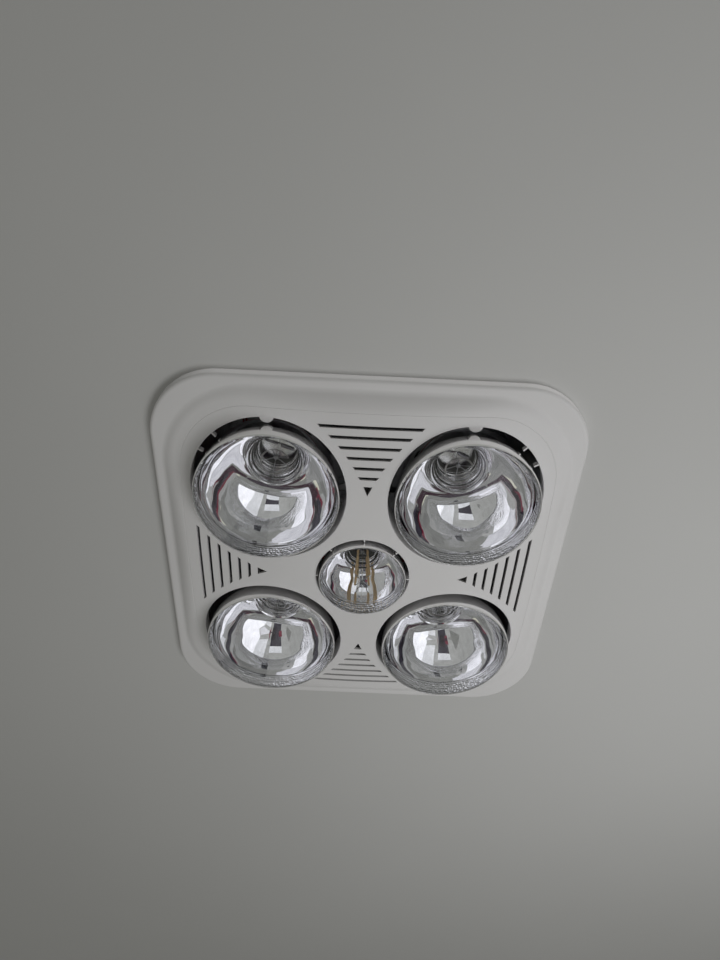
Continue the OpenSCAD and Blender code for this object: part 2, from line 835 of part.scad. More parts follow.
module duct_spigot() {
    r_in = spigot_r - spigot_wall;
    face = spigot_x + spigot_box_d;
    inside = spigot_box - 2 * spigot_wall;
    color("whitesmoke")
        difference() {
            union() {
                difference() {
                    translate([spigot_x, spigot_y - spigot_box / 2, spigot_z - spigot_box / 2])
                        cube([spigot_box_d, spigot_box, spigot_box]);
                    translate([spigot_x - 1, spigot_y - inside / 2, spigot_z - inside / 2])
                        cube([spigot_box_d - spigot_wall + 1, inside, inside]);
                    along_x(face - spigot_wall - 1, spigot_y, spigot_z)
                        cylinder(h = spigot_wall + 2, r = r_in);
                }
                along_x(face - eps, spigot_y, spigot_z) ring(spigot_r, r_in, spigot_l + eps);
                spigot_screw_places(spigot_x) translate([-16, -6, 0]) cube([32, 12, spigot_wall]);
            }
            spigot_screw_places(spigot_x - 1) cylinder(h = spigot_wall + 2, r = screw_hole_r);
            translate([flap_x, spigot_y, spigot_z + flap_up])
                rotate([90, 0, 0]) cylinder(h = 2 * spigot_r + 4, r = flap_pin_r + 0.02, center = true);
        }
}

// Lips in the duct that the closed flap rests on: behind its lower part and in front of its upper part
module flap_seat() {
    lip = 1.2;
    away = flap_t / 2 + seat_gap;
    color("whitesmoke")
        for (upper = [false, true])
            intersection() {
                along_x(upper ? flap_x + away : flap_x - away - lip, spigot_y, spigot_z)
                    ring(spigot_r - spigot_wall - fit_gap / 2, flap_r - 2.5, lip);
                translate([flap_x - 20, spigot_y - spigot_r, spigot_z + (upper ? flap_up + 6 : -spigot_r)])
                    cube([40, 2 * spigot_r, upper ? spigot_r : spigot_r + flap_up - 6]);
            }
}

module damper_flap() {
    half = sqrt(flap_r * flap_r - flap_up * flap_up) - 1;
    color("whitesmoke")
        difference() {
            union() {
                along_x(flap_x - flap_t / 2, spigot_y, spigot_z) cylinder(h = flap_t, r = flap_r);
                translate([flap_x, spigot_y, spigot_z + flap_up])
                    rotate([90, 0, 0]) cylinder(h = 2 * half, r = 3, center = true);
            }
            translate([flap_x, spigot_y, spigot_z + flap_up])
                rotate([90, 0, 0])
                    cylinder(h = 2 * spigot_r + 4, r = flap_pin_r + shaft_run, center = true);
        }
}

module flap_pin() {
    span = 2 * sqrt(spigot_r * spigot_r - flap_up * flap_up);
    color(steel)
        translate([flap_x, spigot_y, spigot_z + flap_up])
            rotate([90, 0, 0]) cylinder(h = span - 0.4, r = flap_pin_r, center = true);
}

// Wiring

cover_t = 2.4;
body_screw_r = 1.8;

module cover_screw_places(z) for (y = [-1, 1]) translate([term_x, y * (term_l / 2 - 9), z]) children();

module terminal_box() {
    t = 2;
    color(cream)
        difference() {
            translate([term_x, 0, box_h]) plate(term_w, term_l, 5, term_h);
            translate([term_x, 0, box_h + t]) plate(term_w - 2 * t, term_l - 2 * t, 3, term_h);
            translate([port_x, 0, box_h - 1]) cylinder(h = t + 2, r = 9);
            along_x(term_x - term_w / 2 - 1, 0, box_h + term_h / 2) cylinder(h = t + 2, r = 9);
            along_x(term_x + term_w / 2 - t - 1, 14, box_h + 10) cylinder(h = t + 2, r = 5);
        }
}

module terminal_cover()
    color(cream)
        difference() {
            translate([term_x, 0, box_h + term_h]) {
                plate(term_w, term_l, 5, cover_t);
                translate([0, 0, -3]) plate(term_w - 5, term_l - 5, 3, 3 + eps);
            }
            translate([term_x, 0, box_h + term_h - 4]) plate(term_w - 8, term_l - 8, 2, 4);
            cover_screw_places(box_h + term_h) cylinder(h = cover_t + 1, r = body_screw_r + fit_gap);
        }

module terminal_block()
    color("ivory")
        translate([term_x + 12, 0, box_h + 2])
            difference() {
                union() {
                    translate([-8, -27, 0]) cube([16, 54, 12]);
                    for (k = [0:4]) translate([-7, -24.5 + k * 10.5, 12 - eps]) cube([14, 7, 5]);
                }
                for (k = [0:4], x = [-4, 4])
                    translate([x, -21 + k * 10.5, 10]) cylinder(h = 8, r = 2);
                for (k = [0:4]) along_x(-9, -21 + k * 10.5, 6) cylinder(h = 18, r = 1.9);
            }

// Screwed gland that the mains cable enters through
module cable_gland()
    color(black)
        along_x(term_x - term_w / 2 - 14, 0, box_h + term_h / 2)
            difference() {
                union() {
                    cylinder(h = 9, r = 9.5);
                    translate([0, 0, 9 - eps]) cylinder(h = 5 + eps, r = 12, $fn = 6);
                    translate([0, 0, 14 - eps]) cylinder(h = 6, r = 8.9);
                    translate([0, 0, 16.1]) cylinder(h = 3.5, r = 11.5, $fn = 6);
                }
                translate([0, 0, -1]) cylinder(h = 24, r = gland_bore_r);
            }

// Leads from the port in the roof to each heat lampholder, two to a holder
module heater_leads() {
    reach = inner_half - 24;
    z_end = heat_tip + holder_back - 8;
    far_z = lead_z - 6;
    color("firebrick")
        for (side = [-1, 1], k = [-1, 1]) {
            o = k * (lead_r + 0.4);
            near_x = port_x + 4 + o;
            far_x = port_x - 2.4 + o;
            tube_along([[near_x, side * 4, box_h + 6], [near_x, side * 4, lead_z],
                [near_x, side * 30, lead_z],
                [o - lamp_at - holder_r - 14, side * (lamp_at - o), lead_z],
                [-lamp_at - holder_r - 8, side * (lamp_at - o), z_end],
                [-lamp_at - lead_end_r, side * (lamp_at - o), z_end]], lead_r);
            tube_along([[far_x, side * 4, box_h + 6], [far_x, side * 4, far_z],
                [o - reach - 6, side * 40, far_z], [o - reach - 6, side * (reach - o), far_z],
                [lamp_at - o, side * (reach - o), far_z],
                [lamp_at - o, side * (lamp_at + holder_r + 8), z_end],
                [lamp_at - o, side * (lamp_at + lead_end_r), z_end]], lead_r);
        }
}

// Leads that pass beside the strap and run under it to the light's holder
module light_leads() {
    low = light_tip + holder_back;
    color("white")
        for (k = [-1, 1]) {
            y = k * (lead_r + 0.4);
            beside = strap_w / 2 + 4 + y;
            wall_x = -inner_half + 4;
            tube_along([[port_x - 7, y, box_h + 6], [port_x - 7, y, roof_in - 8],
                [wall_x, beside, roof_in - 20], [wall_x, beside, low - 6],
                [wall_x + 12, beside, low - lead_r - 1], [wall_x + 34, y, low - lead_r - 0.3],
                [-60, y, low - lead_r - 0.3], [-holder_r - 10, y, low - lead_r - 1],
                [-holder_r - 6, y, low - 8], [-lead_end_r, y, low - 8]], lead_r);
        }
}

// Leads from the terminal box to the motor, and from the motor to its capacitor
module fan_leads() {
    motor_side = fan_x - motor_r;
    color("royalblue")
        for (k = [-1, 1]) {
            y = 14 + k * 1.8;
            tube_along([[term_x + term_w / 2 - 8, y, box_h + 10], [term_x + term_w / 2 + 8, y, box_h + 10],
                [motor_side - 12, y + fan_y - 14, box_h + 9], [motor_side - 6, y + fan_y - 14, box_h + 13],
                [motor_side - fit_gap, y + fan_y - 14, box_h + 13]], lead_r);
            way = [cos(42 - k * 2.7), sin(42 - k * 2.7)];
            start = [fan_x, fan_y] + (motor_r + fit_gap) * way;
            out = [fan_x, fan_y] + (motor_r + 10) * way;
            tube_along([[start[0], start[1], box_h + 13], [out[0], out[1], box_h + 12],
                [cap_x - 8 + k * 2, cap_y - 20, box_h + 10],
                [cap_x - 8 + k * 2, cap_y - 10 - fit_gap, box_h + 10]], lead_r);
        }
}

// Screws of the brackets, the strap, the duct outlet and the terminal cover
module body_screws()
    color(steel) {
        bracket_screw_places(box_h) pan_screw(body_screw_r, 2 * sheet + 3);
        strap_screw_places(box_w / 2) pan_screw(body_screw_r, 2 * sheet + 3);
        spigot_screw_places(spigot_x + spigot_wall) pan_screw(body_screw_r, 5);
        cover_screw_places(box_h + term_h + cover_t) pan_screw(body_screw_r, 8);
    }

// Lamps, drawn with the front at zero and the tip of the cap upwards

// Outline of a reflector lamp's glass from the axis to the neck's end, drawn in by w
function glass_outline(r, sag, rim, bowl, neck, end, w) =
    let (edge = r - rim, front = (edge * edge + sag * sag) / (2 * sag), lean = asin(edge / front),
        start = sag + rim, last = 68,
        a = [(r - w) * cos(last), start + 3 + (bowl - w) * sin(last)],
        way = unit([-(r - w) * sin(last), (bowl - w) * cos(last)]),
        b = [neck - w, a[1] + 12])
    concat(
        [for (i = [0:7]) let (t = lean * i / 8)
            [(front - w) * sin(t), front - (front - w) * cos(t)]],
        arc([edge, start], rim - w, lean - 90, 0, 6),
        [for (i = [0:12]) let (t = last * i / 12) [(r - w) * cos(t), start + 3 + (bowl - w) * sin(t)]],
        [for (i = [1:6]) bend(a, a + way * 5, b - [0, 5], b, 6)[i]],
        [[neck - w, end - 14], [cap_r - 0.7 - w, end - 5.4], [cap_r - 0.7 - w, end]]);

module glass(r, sag, rim, bowl, neck, l) {
    end = l - cap_l + 5;
    hole = cap_r - 0.7 - glass_wall;
    difference() {
        rotate_extrude()
            polygon(concat(glass_outline(r, sag, rim, bowl, neck, end, 0), [[0, end]]));
        rotate_extrude()
            polygon(concat(glass_outline(r, sag, rim, bowl, neck, end, glass_wall), [[0, end]]));
        translate([0, 0, end - 1]) cylinder(h = 2, r = hole);
    }
}

heat_sag = 8.2;
heat_rim = 6;
light_sag = 5;
light_rim = 4;

module heat_bulb()
    color("lightgray", 0.6)
        translate([0, 0, -heat_front]) glass(heat_r, heat_sag, heat_rim, heat_bowl_l, heat_neck_r, heat_l);

module light_bulb()
    color("lightgray", 0.6)
        translate([0, 0, -light_front])
            glass(light_r, light_sag, light_rim, light_bowl_l, light_neck_r, light_l);

// Screw shell, insulator and centre contact; z is the tip of the contact
module cap(z) {
    shell_l = cap_l - 5;
    rings = floor((shell_l - 7) / cap_pitch);
    low = z - cap_l;
    wave = [for (k = [0:rings - 1], q = [0, 1])
        [cap_r - q * cap_thread, low + 6 + (k + q * 0.5) * cap_pitch]];
    top = low + 6 + rings * cap_pitch;
    color(steel)
        difference() {
            rotate_extrude()
                polygon(concat([[0, low], [cap_r, low]], wave,
                    [[cap_r, top], [9, top + 2], [5, z - 1], [4.6, z], [0, z]]));
            rotate_extrude()
                polygon([[0, low - 1], [cap_r - 0.6, low - 1], [cap_r - 0.6, low + 5.1], [0, low + 5.1]]);
        }
}

filament_r = 13;
filament_up = 76;
stem_up = 24;
shield_r = 15;
shield_up = 10;
shield_t = 0.5;

// Glass stem with its heat shield, the supports and the ring filament; tip is the lamp's tip
module heat_filament(tip) {
    end = tip - cap_l + 5;
    stem_r = cap_r - 0.7 - glass_wall - fit_gap;
    ring_z = tip - heat_l + filament_up;
    stem_tip = ring_z + stem_up;
    stem_l = end - stem_tip;
    color("gray") {
        translate([0, 0, stem_tip])
            rotate_extrude()
                polygon([[0, 0], [3, 0], [4, 2], [4, stem_l - 14], [stem_r - 1, stem_l - 5],
                    [stem_r - 1, stem_l - 1], [stem_r, stem_l - 1], [stem_r, stem_l], [0, stem_l]]);
        translate([0, 0, stem_tip + shield_up]) cylinder(h = shield_t, r = shield_r);
        translate([0, 0, ring_z])
            rotate_extrude(angle = 320, start = 20) translate([filament_r, 0]) circle(1, $fn = 24);
        for (a = [20, 100, 180, 260, 340])
            rotate([0, 0, a]) rod([filament_r, 0, ring_z], [2.4, 0, stem_tip + 4], 0.5);
    }
}

// Straight round rod between two points
module rod(from, to, r) {
    way = to - from;
    l = norm(way);
    translate(from)
        rotate([0, acos(way[2] / l), atan2(way[1], way[0])])
            cylinder(h = l, r = r, $fn = 24);
}

stick_low = 17;
stick_h = 38;
stick_in = 6;
stick_out = 9;

// Stem and four leaning filament sticks of the light
module light_filaments() {
    end = light_tip - cap_l + 5;
    stem_r = cap_r - 0.7 - glass_wall - fit_gap;
    low = stick_low - light_front;
    top = low + stick_h;
    hub = top + 3;
    stem_l = end - hub + 4;
    color("orange") {
        translate([0, 0, hub - 4])
            rotate_extrude()
                polygon([[0, 0], [2.4, 0], [3, 2], [3, 8], [stem_r - 1, stem_l - 5],
                    [stem_r - 1, stem_l - 1], [stem_r, stem_l - 1], [stem_r, stem_l], [0, stem_l]]);
        rod([0, 0, low], [0, 0, hub], 0.7);
        for (a = [45:90:315])
            rotate([0, 0, a]) {
                rod([stick_in, 0, top], [stick_out, 0, low], 1.1);
                rod([0, 0, hub], [stick_in, 0, top - 1], 0.4);
                rod([0, 0, low + 0.8], [stick_out, 0, low + 0.8], 0.4);
            }
    }
}

housing_shell();
holder_brackets();
light_bracket();
fan_scroll();
inlet_ring();
motor_casing();
motor_end_cap();
motor_stator();
motor_windings();
motor_bearings();
motor_feet();
run_capacitor();
thermal_cutout();
terminal_box();
terminal_cover();
terminal_block();
cable_gland();
duct_spigot();
flap_seat();
flap_pin();
heater_leads();
light_leads();
fan_leads();
holder_screws();
motor_screws();
body_screws();
holder(light_tip);  // light_holder
holder_contacts(light_tip);  // light_holder_contacts
motor_shaft();
motor_rotor();
fan_wheel();
wheel_nut();
damper_flap();
fascia();
fascia_clips();
light_bulb();
cap(light_tip);  // light_cap
light_filaments();
for (i = [0:3]) {
    at_lamp(i) holder(heat_tip);
    at_lamp(i) holder_contacts(heat_tip);
    at_lamp(i) heat_bulb();
    at_lamp(i) cap(heat_tip);
    at_lamp(i) heat_filament(heat_tip);
}
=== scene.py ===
"""Looks of the ceiling unit: its panel, lamps, housing and fan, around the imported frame."""
import json
import math

import bmesh
import bpy
from mathutils import Matrix, Vector

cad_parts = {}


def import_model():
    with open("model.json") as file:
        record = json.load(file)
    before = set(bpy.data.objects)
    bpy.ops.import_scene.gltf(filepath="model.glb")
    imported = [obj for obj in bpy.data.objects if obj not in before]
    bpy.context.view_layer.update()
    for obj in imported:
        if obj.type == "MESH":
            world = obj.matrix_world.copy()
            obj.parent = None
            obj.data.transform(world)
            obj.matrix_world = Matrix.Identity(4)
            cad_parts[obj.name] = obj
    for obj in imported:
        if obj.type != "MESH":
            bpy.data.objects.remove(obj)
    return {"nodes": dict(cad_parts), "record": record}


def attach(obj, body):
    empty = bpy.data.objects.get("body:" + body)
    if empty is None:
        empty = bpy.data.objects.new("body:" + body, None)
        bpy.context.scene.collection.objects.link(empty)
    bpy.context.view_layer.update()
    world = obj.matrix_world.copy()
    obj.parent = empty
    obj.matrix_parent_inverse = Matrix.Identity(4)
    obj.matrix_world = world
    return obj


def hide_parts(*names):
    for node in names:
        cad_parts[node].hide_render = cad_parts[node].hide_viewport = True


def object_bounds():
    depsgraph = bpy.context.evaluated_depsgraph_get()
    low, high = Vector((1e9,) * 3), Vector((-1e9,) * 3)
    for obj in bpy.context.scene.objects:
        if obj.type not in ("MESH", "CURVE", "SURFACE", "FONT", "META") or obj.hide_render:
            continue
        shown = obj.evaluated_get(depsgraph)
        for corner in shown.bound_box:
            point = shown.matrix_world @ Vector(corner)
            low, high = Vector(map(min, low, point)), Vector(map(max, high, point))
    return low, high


MM = 0.001
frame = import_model()
nodes = frame["nodes"]
cad_low, cad_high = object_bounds()

CORNERS = {"near_left": (-1, -1), "near_right": (1, -1), "far_left": (-1, 1), "far_right": (1, 1)}

# Panel, in millimetres
PANEL_HALF = 186.5
PANEL_CORNER = 60
RIM_DEPTH = 10.4
RIM_EDGE = 3.5
RIM_STEPS = 6
WALL = 2.4
STEP_HALF = 177
STEP_CORNER = 78
FACE_DEPTH = 33.6
FACE_RADIUS = 1082
LINE_INSET = 14.2
LINE_WIDTH = 0.9
LINE_DEPTH = 0.3
CREST_BLEND = 5
FOOT_BLEND = 2.5
BAND_STEP = 0.6
GRID_STEP = 10
LIP = 0.7
LIP_STEPS = 4
COLLAR_TOP = -6
HEAT_OPENING = 68
LIGHT_OPENING = 43.1
LAMP_AT = 85.8

# Slots, in millimetres
SLOT_COUNT = 6
SLOT_FIRST = 150.4
SLOT_PITCH = 9.1
SLOT_WIDTH = 2.8
SLOT_HALF = 43.2
SLOT_SHORTER = 9.3
SLOT_EASE = 1.14
SLOT_SLANT = 1.2
ARROW_HALF = 4
ARROW_LENGTH = 9

# Tabs, ribs, clip seats and posts of the panel, in millimetres and degrees
TAB_WIDTH = 12
TAB_REACH = 4.9
TAB_SWEEP = 270
RIB = 1.2
RIB_REACH = 4.4
RIB_ANGLES = (30, 47)
LIGHT_RIB_REACH = 2.3
LIGHT_RIBS = 8
LIGHT_RIB_TOP = -10
TRIM_SEAT = 0.9
TRIM_SET = 0.4
TRIM_TOP = -12
CLIP_AT = 139.54
CLIP_SEAT_HALF = (3, 9)
CLIP_SEAT_TOP = -3.5
POST_AT = 161
POST_ALONG = 60
POST_RADIUS = 3
POST_TOP = -1.5

# Lamps, in millimetres and degrees: glass, coat, and the leans of the mirror at shares of its height
GLASS = 1
HEAT = {"r": 62.5, "sag": 8.2, "rim": 6, "bowl": 84, "neck": 19.5, "length": 181, "front": -50.5,
        "wave": 15, "sides": 144}
LIGHT = {"r": 40, "sag": 5, "rim": 4, "bowl": 46, "neck": 15, "length": 115, "front": -46,
         "wave": 9, "sides": 112}
CAP_RADIUS = 13.05
CAP_LENGTH = 26
GLASS_IN_CAP = 5
GLASS_TIP = CAP_RADIUS - 0.7
TAPER_FROM = 14
TAPER_TO = 5.4
BOWL_START = 3
BOWL_ANGLE = 68
BOWL_LEANS = ((0, 88), (0.1, 80), (0.3, 58), (0.56, 39), (0.7, 52), (0.85, 72), (1, 86))
MIRROR_STEPS = 280
MIRROR_PAST = 1
NECK_RISE = 12
NECK_PULL = 5
RING_PITCH = 2.4
RING_COUNT = 4
RING_DEPTH = 0.2
WAVE_DEPTH = 0.22
WAVE_UNTIL = 0.5
THROAT_FROM = 0.7
THROAT_PITCH = 4.5
THROAT_DEPTH = 0.45
COAT_FROM = 5
STIPPLE_HEIGHT = 7

# What the lamps hold, in millimetres and degrees
STEM_FOOT = GLASS_TIP - GLASS - 0.1
STEM_FOOT_HIGH = 5
STEM_RADIUS = 4
COIL_HEIGHT = 76
COIL_RING = 13
COIL_SWEEP = 320
COIL_TURNS = 90
COIL_RADIUS = 0.7
COIL_WIRE = 0.22
COIL_POINTS = 900
STEM_ABOVE = 8
PIN_RADIUS = 1.5
BUTTON_RADIUS = 2.2
SPOKES = (20, 100, 180, 260, 340)
SPOKE_RADIUS = 0.4
DISC_ABOVE = 34
DISC_RADIUS = 17.2
DISC_HOLE = 1.8
DISC_THICK = 0.5
STRAPS = (20, 200)
STRAP_REACH = 15
STRAP_RADIUS = 1.3
STICKS = (45, 135, 225, 315)
STICK_FROM = 9
STICK_LENGTH = 42
STICK_RADIUS = 1.05
STICK_TOP_AT = 6
STICK_LOW_AT = 9
STICK_SET = 2
LEAD_RADIUS = 0.35

# The stage, in metres and degrees: half width and corner of the hole for the fixing lip, and the camera
LIP_HOLE = (0.1775, 0.0495)
HORIZON = 30.0
CEILING_GAP = 0.0002
FLOOR_GAP = 0.0005
LAMP_TRAVEL = 0.18
PALE = 0.74
CAMERA_AT = (-0.01456, -0.39539, -0.49445)
CAMERA_TURN = (147.95, -0.714, -2.637)
CAMERA_LENS = 24.39


# Materials


def add(mat, kind, **values):
    """Adds a shader node; a value whose name is a socket goes to the socket, and any other to the node."""
    node = mat.node_tree.nodes.new("ShaderNode" + kind)
    for key, value in values.items():
        label = key.replace("_", " ").title()
        if label in node.inputs:
            node.inputs[label].default_value = value
        else:
            setattr(node, key, value)
    return node


def join(mat, source, out, target, into):
    mat.node_tree.links.new(source.outputs[out], target.inputs[into])


def finish_of(name, colour, roughness=0.5, metallic=0.0, **values):
    """A material with its plain values set on the shader's own sockets."""
    mat = bpy.data.materials.new(name)
    mat.use_nodes = True
    shader = mat.node_tree.nodes["Principled BSDF"]
    shader.inputs["Base Color"].default_value = (*colour, 1)
    shader.inputs["Roughness"].default_value = roughness
    shader.inputs["Metallic"].default_value = metallic
    for key, value in values.items():
        shader.inputs[key.replace("_", " ").title().replace("Ior", "IOR")].default_value = value
    return mat, shader


def place(mat):
    return add(mat, "TexCoord")


def two_tones(mat, dark, pale, low=0.0, high=1.0):
    """Colour ramp from a dark tone to a pale one."""
    ramp = add(mat, "ValToRGB")
    for mark, spot, tone in zip(ramp.color_ramp.elements, (low, high), (dark, pale)):
        mark.position = spot
        mark.color = (*tone, 1)
    return ramp


def mottle(mat, shader, dark, pale, scale):
    """Two close colours mixed by a soft noise over the piece."""
    noise = add(mat, "TexNoise", scale=scale, detail=3.0, roughness=0.55)
    ramp = two_tones(mat, dark, pale, 0.32, 0.7)
    join(mat, place(mat), "Object", noise, "Vector")
    join(mat, noise, "Fac", ramp, "Fac")
    join(mat, ramp, "Color", shader, "Base Color")
    return noise


def grain(mat, shader, texture, out, strength, distance):
    """Bump from a texture that already reads the piece's own coordinates."""
    bump = add(mat, "Bump", strength=strength, distance=distance)
    join(mat, texture, out, bump, "Height")
    join(mat, bump, "Normal", shader, "Normal")


def fine_noise(mat, scale, detail=2.0):
    noise = add(mat, "TexNoise", scale=scale, detail=detail, roughness=0.6)
    join(mat, place(mat), "Object", noise, "Vector")
    return noise


def worn_roughness(mat, shader, source, low, high):
    spread = add(mat, "MapRange", to_min=low, to_max=high)
    join(mat, source, "Fac", spread, "Value")
    join(mat, spread, "Result", shader, "Roughness")


def moulded(name, dark, pale, roughness, scale=9.0, orange_peel=0.05):
    """Moulded plastic: faint uneven tone and a fine orange-peel surface."""
    mat, shader = finish_of(name, pale, roughness)
    soft = mottle(mat, shader, dark, pale, scale)
    worn_roughness(mat, shader, soft, roughness - 0.05, roughness + 0.06)
    grain(mat, shader, fine_noise(mat, 900.0), "Fac", orange_peel, 0.0002)
    return mat


def galvanised():
    """Hot-dipped sheet: flat crystals a few millimetres wide, each with its own tone and gloss."""
    mat, shader = finish_of("galvanised_sheet", (0.5, 0.51, 0.52), 0.38, 1.0)
    wobble = fine_noise(mat, 45.0, 3.0)
    blend = add(mat, "VectorMath", operation="MULTIPLY_ADD")
    blend.inputs[1].default_value = (0.006, 0.006, 0.006)
    join(mat, wobble, "Color", blend, 0)
    join(mat, place(mat), "Object", blend, 2)
    crystal = add(mat, "TexVoronoi", scale=130.0)
    join(mat, blend, "Vector", crystal, "Vector")
    single = add(mat, "SeparateColor")
    join(mat, crystal, "Color", single, "Color")
    tone = two_tones(mat, (0.52, 0.53, 0.545), (0.64, 0.65, 0.66))
    join(mat, single, "Red", tone, "Fac")
    join(mat, tone, "Color", shader, "Base Color")
    gloss = add(mat, "MapRange", to_min=0.3, to_max=0.4)
    join(mat, single, "Green", gloss, "Value")
    join(mat, gloss, "Result", shader, "Roughness")
    grain(mat, shader, fine_noise(mat, 30.0), "Fac", 0.12, 0.001)
    return mat


def metal(name, colour, roughness, streak=(40.0, 40.0, 900.0), depth=0.08):
    """Drawn or turned metal, with fine streaks along one way."""
    mat, shader = finish_of(name, colour, roughness, 1.0)
    stretch = add(mat, "Mapping")
    stretch.inputs["Scale"].default_value = streak
    join(mat, place(mat), "Object", stretch, "Vector")
    lines = add(mat, "TexNoise", scale=1.0, detail=3.0)
    join(mat, stretch, "Vector", lines, "Vector")
    worn_roughness(mat, shader, lines, roughness - 0.08, roughness + 0.1)
    grain(mat, shader, lines, "Fac", depth, 0.0002)
    return mat


def banded(name, dark, pale, roughness, metallic, scale):
    """Fine even lines, as on stacked core plates or wound wire."""
    mat, shader = finish_of(name, pale, roughness, metallic)
    lines = add(mat, "TexWave", scale=scale, distortion=0.4, bands_direction="Z")
    join(mat, place(mat), "Object", lines, "Vector")
    ramp = two_tones(mat, dark, pale)
    join(mat, lines, "Fac", ramp, "Fac")
    join(mat, ramp, "Color", shader, "Base Color")
    grain(mat, shader, lines, "Fac", 0.5, 0.0004)
    return mat


def mirror_coat():
    """Vacuum-coated aluminium inside the glass, with a slight unevenness of the blown bulb."""
    mat, shader = finish_of("mirror_coat", (0.86, 0.86, 0.875), 0.025, 1.0)
    grain(mat, shader, fine_noise(mat, 60.0, 1.0), "Fac", 0.05, 0.001)
    return mat


def stippled_mirror():
    """The coat behind the rim, whose glass is pressed with small dimples."""
    mat, shader = finish_of("stippled_mirror", (0.86, 0.86, 0.87), 0.05, 1.0)
    dimple = add(mat, "TexVoronoi", scale=420.0)
    join(mat, place(mat), "Object", dimple, "Vector")
    grain(mat, shader, dimple, "Distance", 0.7, 0.0007)
    return mat


def clear_glass(name, tint=(0.97, 0.98, 0.975), roughness=0.0):
    mat, _shader = finish_of(name, tint, roughness, transmission_weight=1.0, ior=1.46)
    return mat


def amber_phosphor():
    """The cured coat of the light sticks."""
    mat, shader = finish_of("amber_phosphor", (1.0, 0.7, 0.34), 0.5)
    grain(mat, shader, fine_noise(mat, 800.0), "Fac", 0.3, 0.0003)
    return mat


PLASTIC = moulded("white_moulding", (0.624, 0.614, 0.616), (0.648, 0.64, 0.642), 0.4)
FINISHES = {
    "galvanised_steel": galvanised(),
    "motor_steel": metal("motor_case_steel", (0.5, 0.5, 0.51), 0.34),
    "core_steel": banded("core_plates", (0.12, 0.12, 0.125), (0.34, 0.34, 0.35), 0.45, 1.0, 160.0),
    "bright_steel": metal("zinc_plate", (0.62, 0.6, 0.55), 0.28),
    "copper_wire": banded("enamelled_wire", (0.3, 0.1, 0.03), (0.66, 0.27, 0.1), 0.32, 0.85, 220.0),
    "brass_parts": metal("brass", (0.72, 0.53, 0.24), 0.28),
    "wheel_aluminium": metal("wheel_sheet", (0.72, 0.73, 0.74), 0.3),
    "cap_metal": metal("nickel_cap", (0.64, 0.62, 0.58), 0.26),
    "black_rubber": moulded("black_rubber", (0.012, 0.012, 0.013), (0.022, 0.022, 0.023), 0.7, 40.0, 0.2),
    "black_plastic": moulded("black_moulding", (0.016, 0.016, 0.017), (0.026, 0.026, 0.027), 0.42, 30.0, 0.1),
    "grey_plastic": moulded("grey_moulding", (0.28, 0.285, 0.29), (0.31, 0.315, 0.32), 0.42, 20.0, 0.08),
    "ivory_plastic": moulded("ivory_moulding", (0.62, 0.58, 0.47), (0.68, 0.64, 0.53), 0.4, 25.0, 0.06),
    "red_sleeve": moulded("red_sleeve", (0.3, 0.018, 0.014), (0.42, 0.03, 0.022), 0.45, 60.0, 0.05),
    "white_sleeve": moulded("white_sleeve", (0.6, 0.6, 0.58), (0.68, 0.68, 0.66), 0.45, 60.0, 0.05),
    "blue_sleeve": moulded("blue_sleeve", (0.02, 0.06, 0.26), (0.03, 0.09, 0.36), 0.45, 60.0, 0.05),
    "ceramic": moulded("glazed_ceramic", (0.66, 0.65, 0.61), (0.74, 0.73, 0.7), 0.22, 35.0, 0.1),
    "panel_plastic": PLASTIC,
}
MIRROR = mirror_coat()
STIPPLE = stippled_mirror()
FRONT_GLASS = clear_glass("lamp_glass")
STEM_GLASS = clear_glass("stem_glass", (0.93, 0.95, 0.94), 0.02)
WIRE = metal("support_wire", (0.36, 0.36, 0.37), 0.3)
TUNGSTEN = metal("filament_coil", (0.5, 0.49, 0.47), 0.35)
AMBER = amber_phosphor()
# Inside of the lamps' necks: near-black painted shade for the dark throat, not a tint of the glass.
NECK_PAINTED_SHADE = moulded("neck_painted_shade", (0.006, 0.006, 0.007), (0.012, 0.012, 0.011), 0.6, 60.0, 0.05)
SHIELD = metal("shield_disc", (0.86, 0.86, 0.84), 0.22, (60.0, 60.0, 60.0), 0.2)
OUTER_COAT = metal("outer_coat", (0.93, 0.93, 0.92), 0.04, (20.0, 20.0, 60.0), 0.01)


# Shared mesh steps


def mark_edges(bm, limit=34):
    """Smooth faces with a sharp edge wherever two of them meet at more than the limit."""
    bm.normal_update()
    for face in bm.faces:
        face.smooth = True
    for edge in bm.edges:
        edge.smooth = edge.is_manifold and edge.calc_face_angle(0) < math.radians(limit)


def object_from(bm, name, mats):
    """Puts a drawn mesh into the scene as an object with its materials."""
    mesh = bpy.data.meshes.new(name)
    bm.to_mesh(mesh)
    bm.free()
    for mat in mats:
        mesh.materials.append(mat)
    made = bpy.data.objects.new(name, mesh)
    bpy.context.scene.collection.objects.link(made)
    return made


def piece(bm, name, body, mats):
    """Turns a mesh drawn in millimetres into a finished piece that rides on a body."""
    bmesh.ops.scale(bm, vec=(MM, MM, MM), verts=bm.verts)
    made = object_from(bm, name, mats)
    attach(made, body)
    return made


def new_edges(bm, geom):
    """The edges of an extruded loop, leaving out those that join it to the old one."""
    fresh = {g for g in geom if isinstance(g, bmesh.types.BMVert)}
    return [e for v in fresh for e in v.link_edges
            if e.other_vert(v) in fresh and v.index < e.other_vert(v).index]


def pull_loop(bm, edges, move):
    """Extrudes a loop of edges and sets each new vertex to what move says of it."""
    made = bmesh.ops.extrude_edge_only(bm, edges=edges)["geom"]
    bm.verts.index_update()
    for vert in (g for g in made if isinstance(g, bmesh.types.BMVert)):
        vert.co = move(vert.co)
    return new_edges(bm, made)


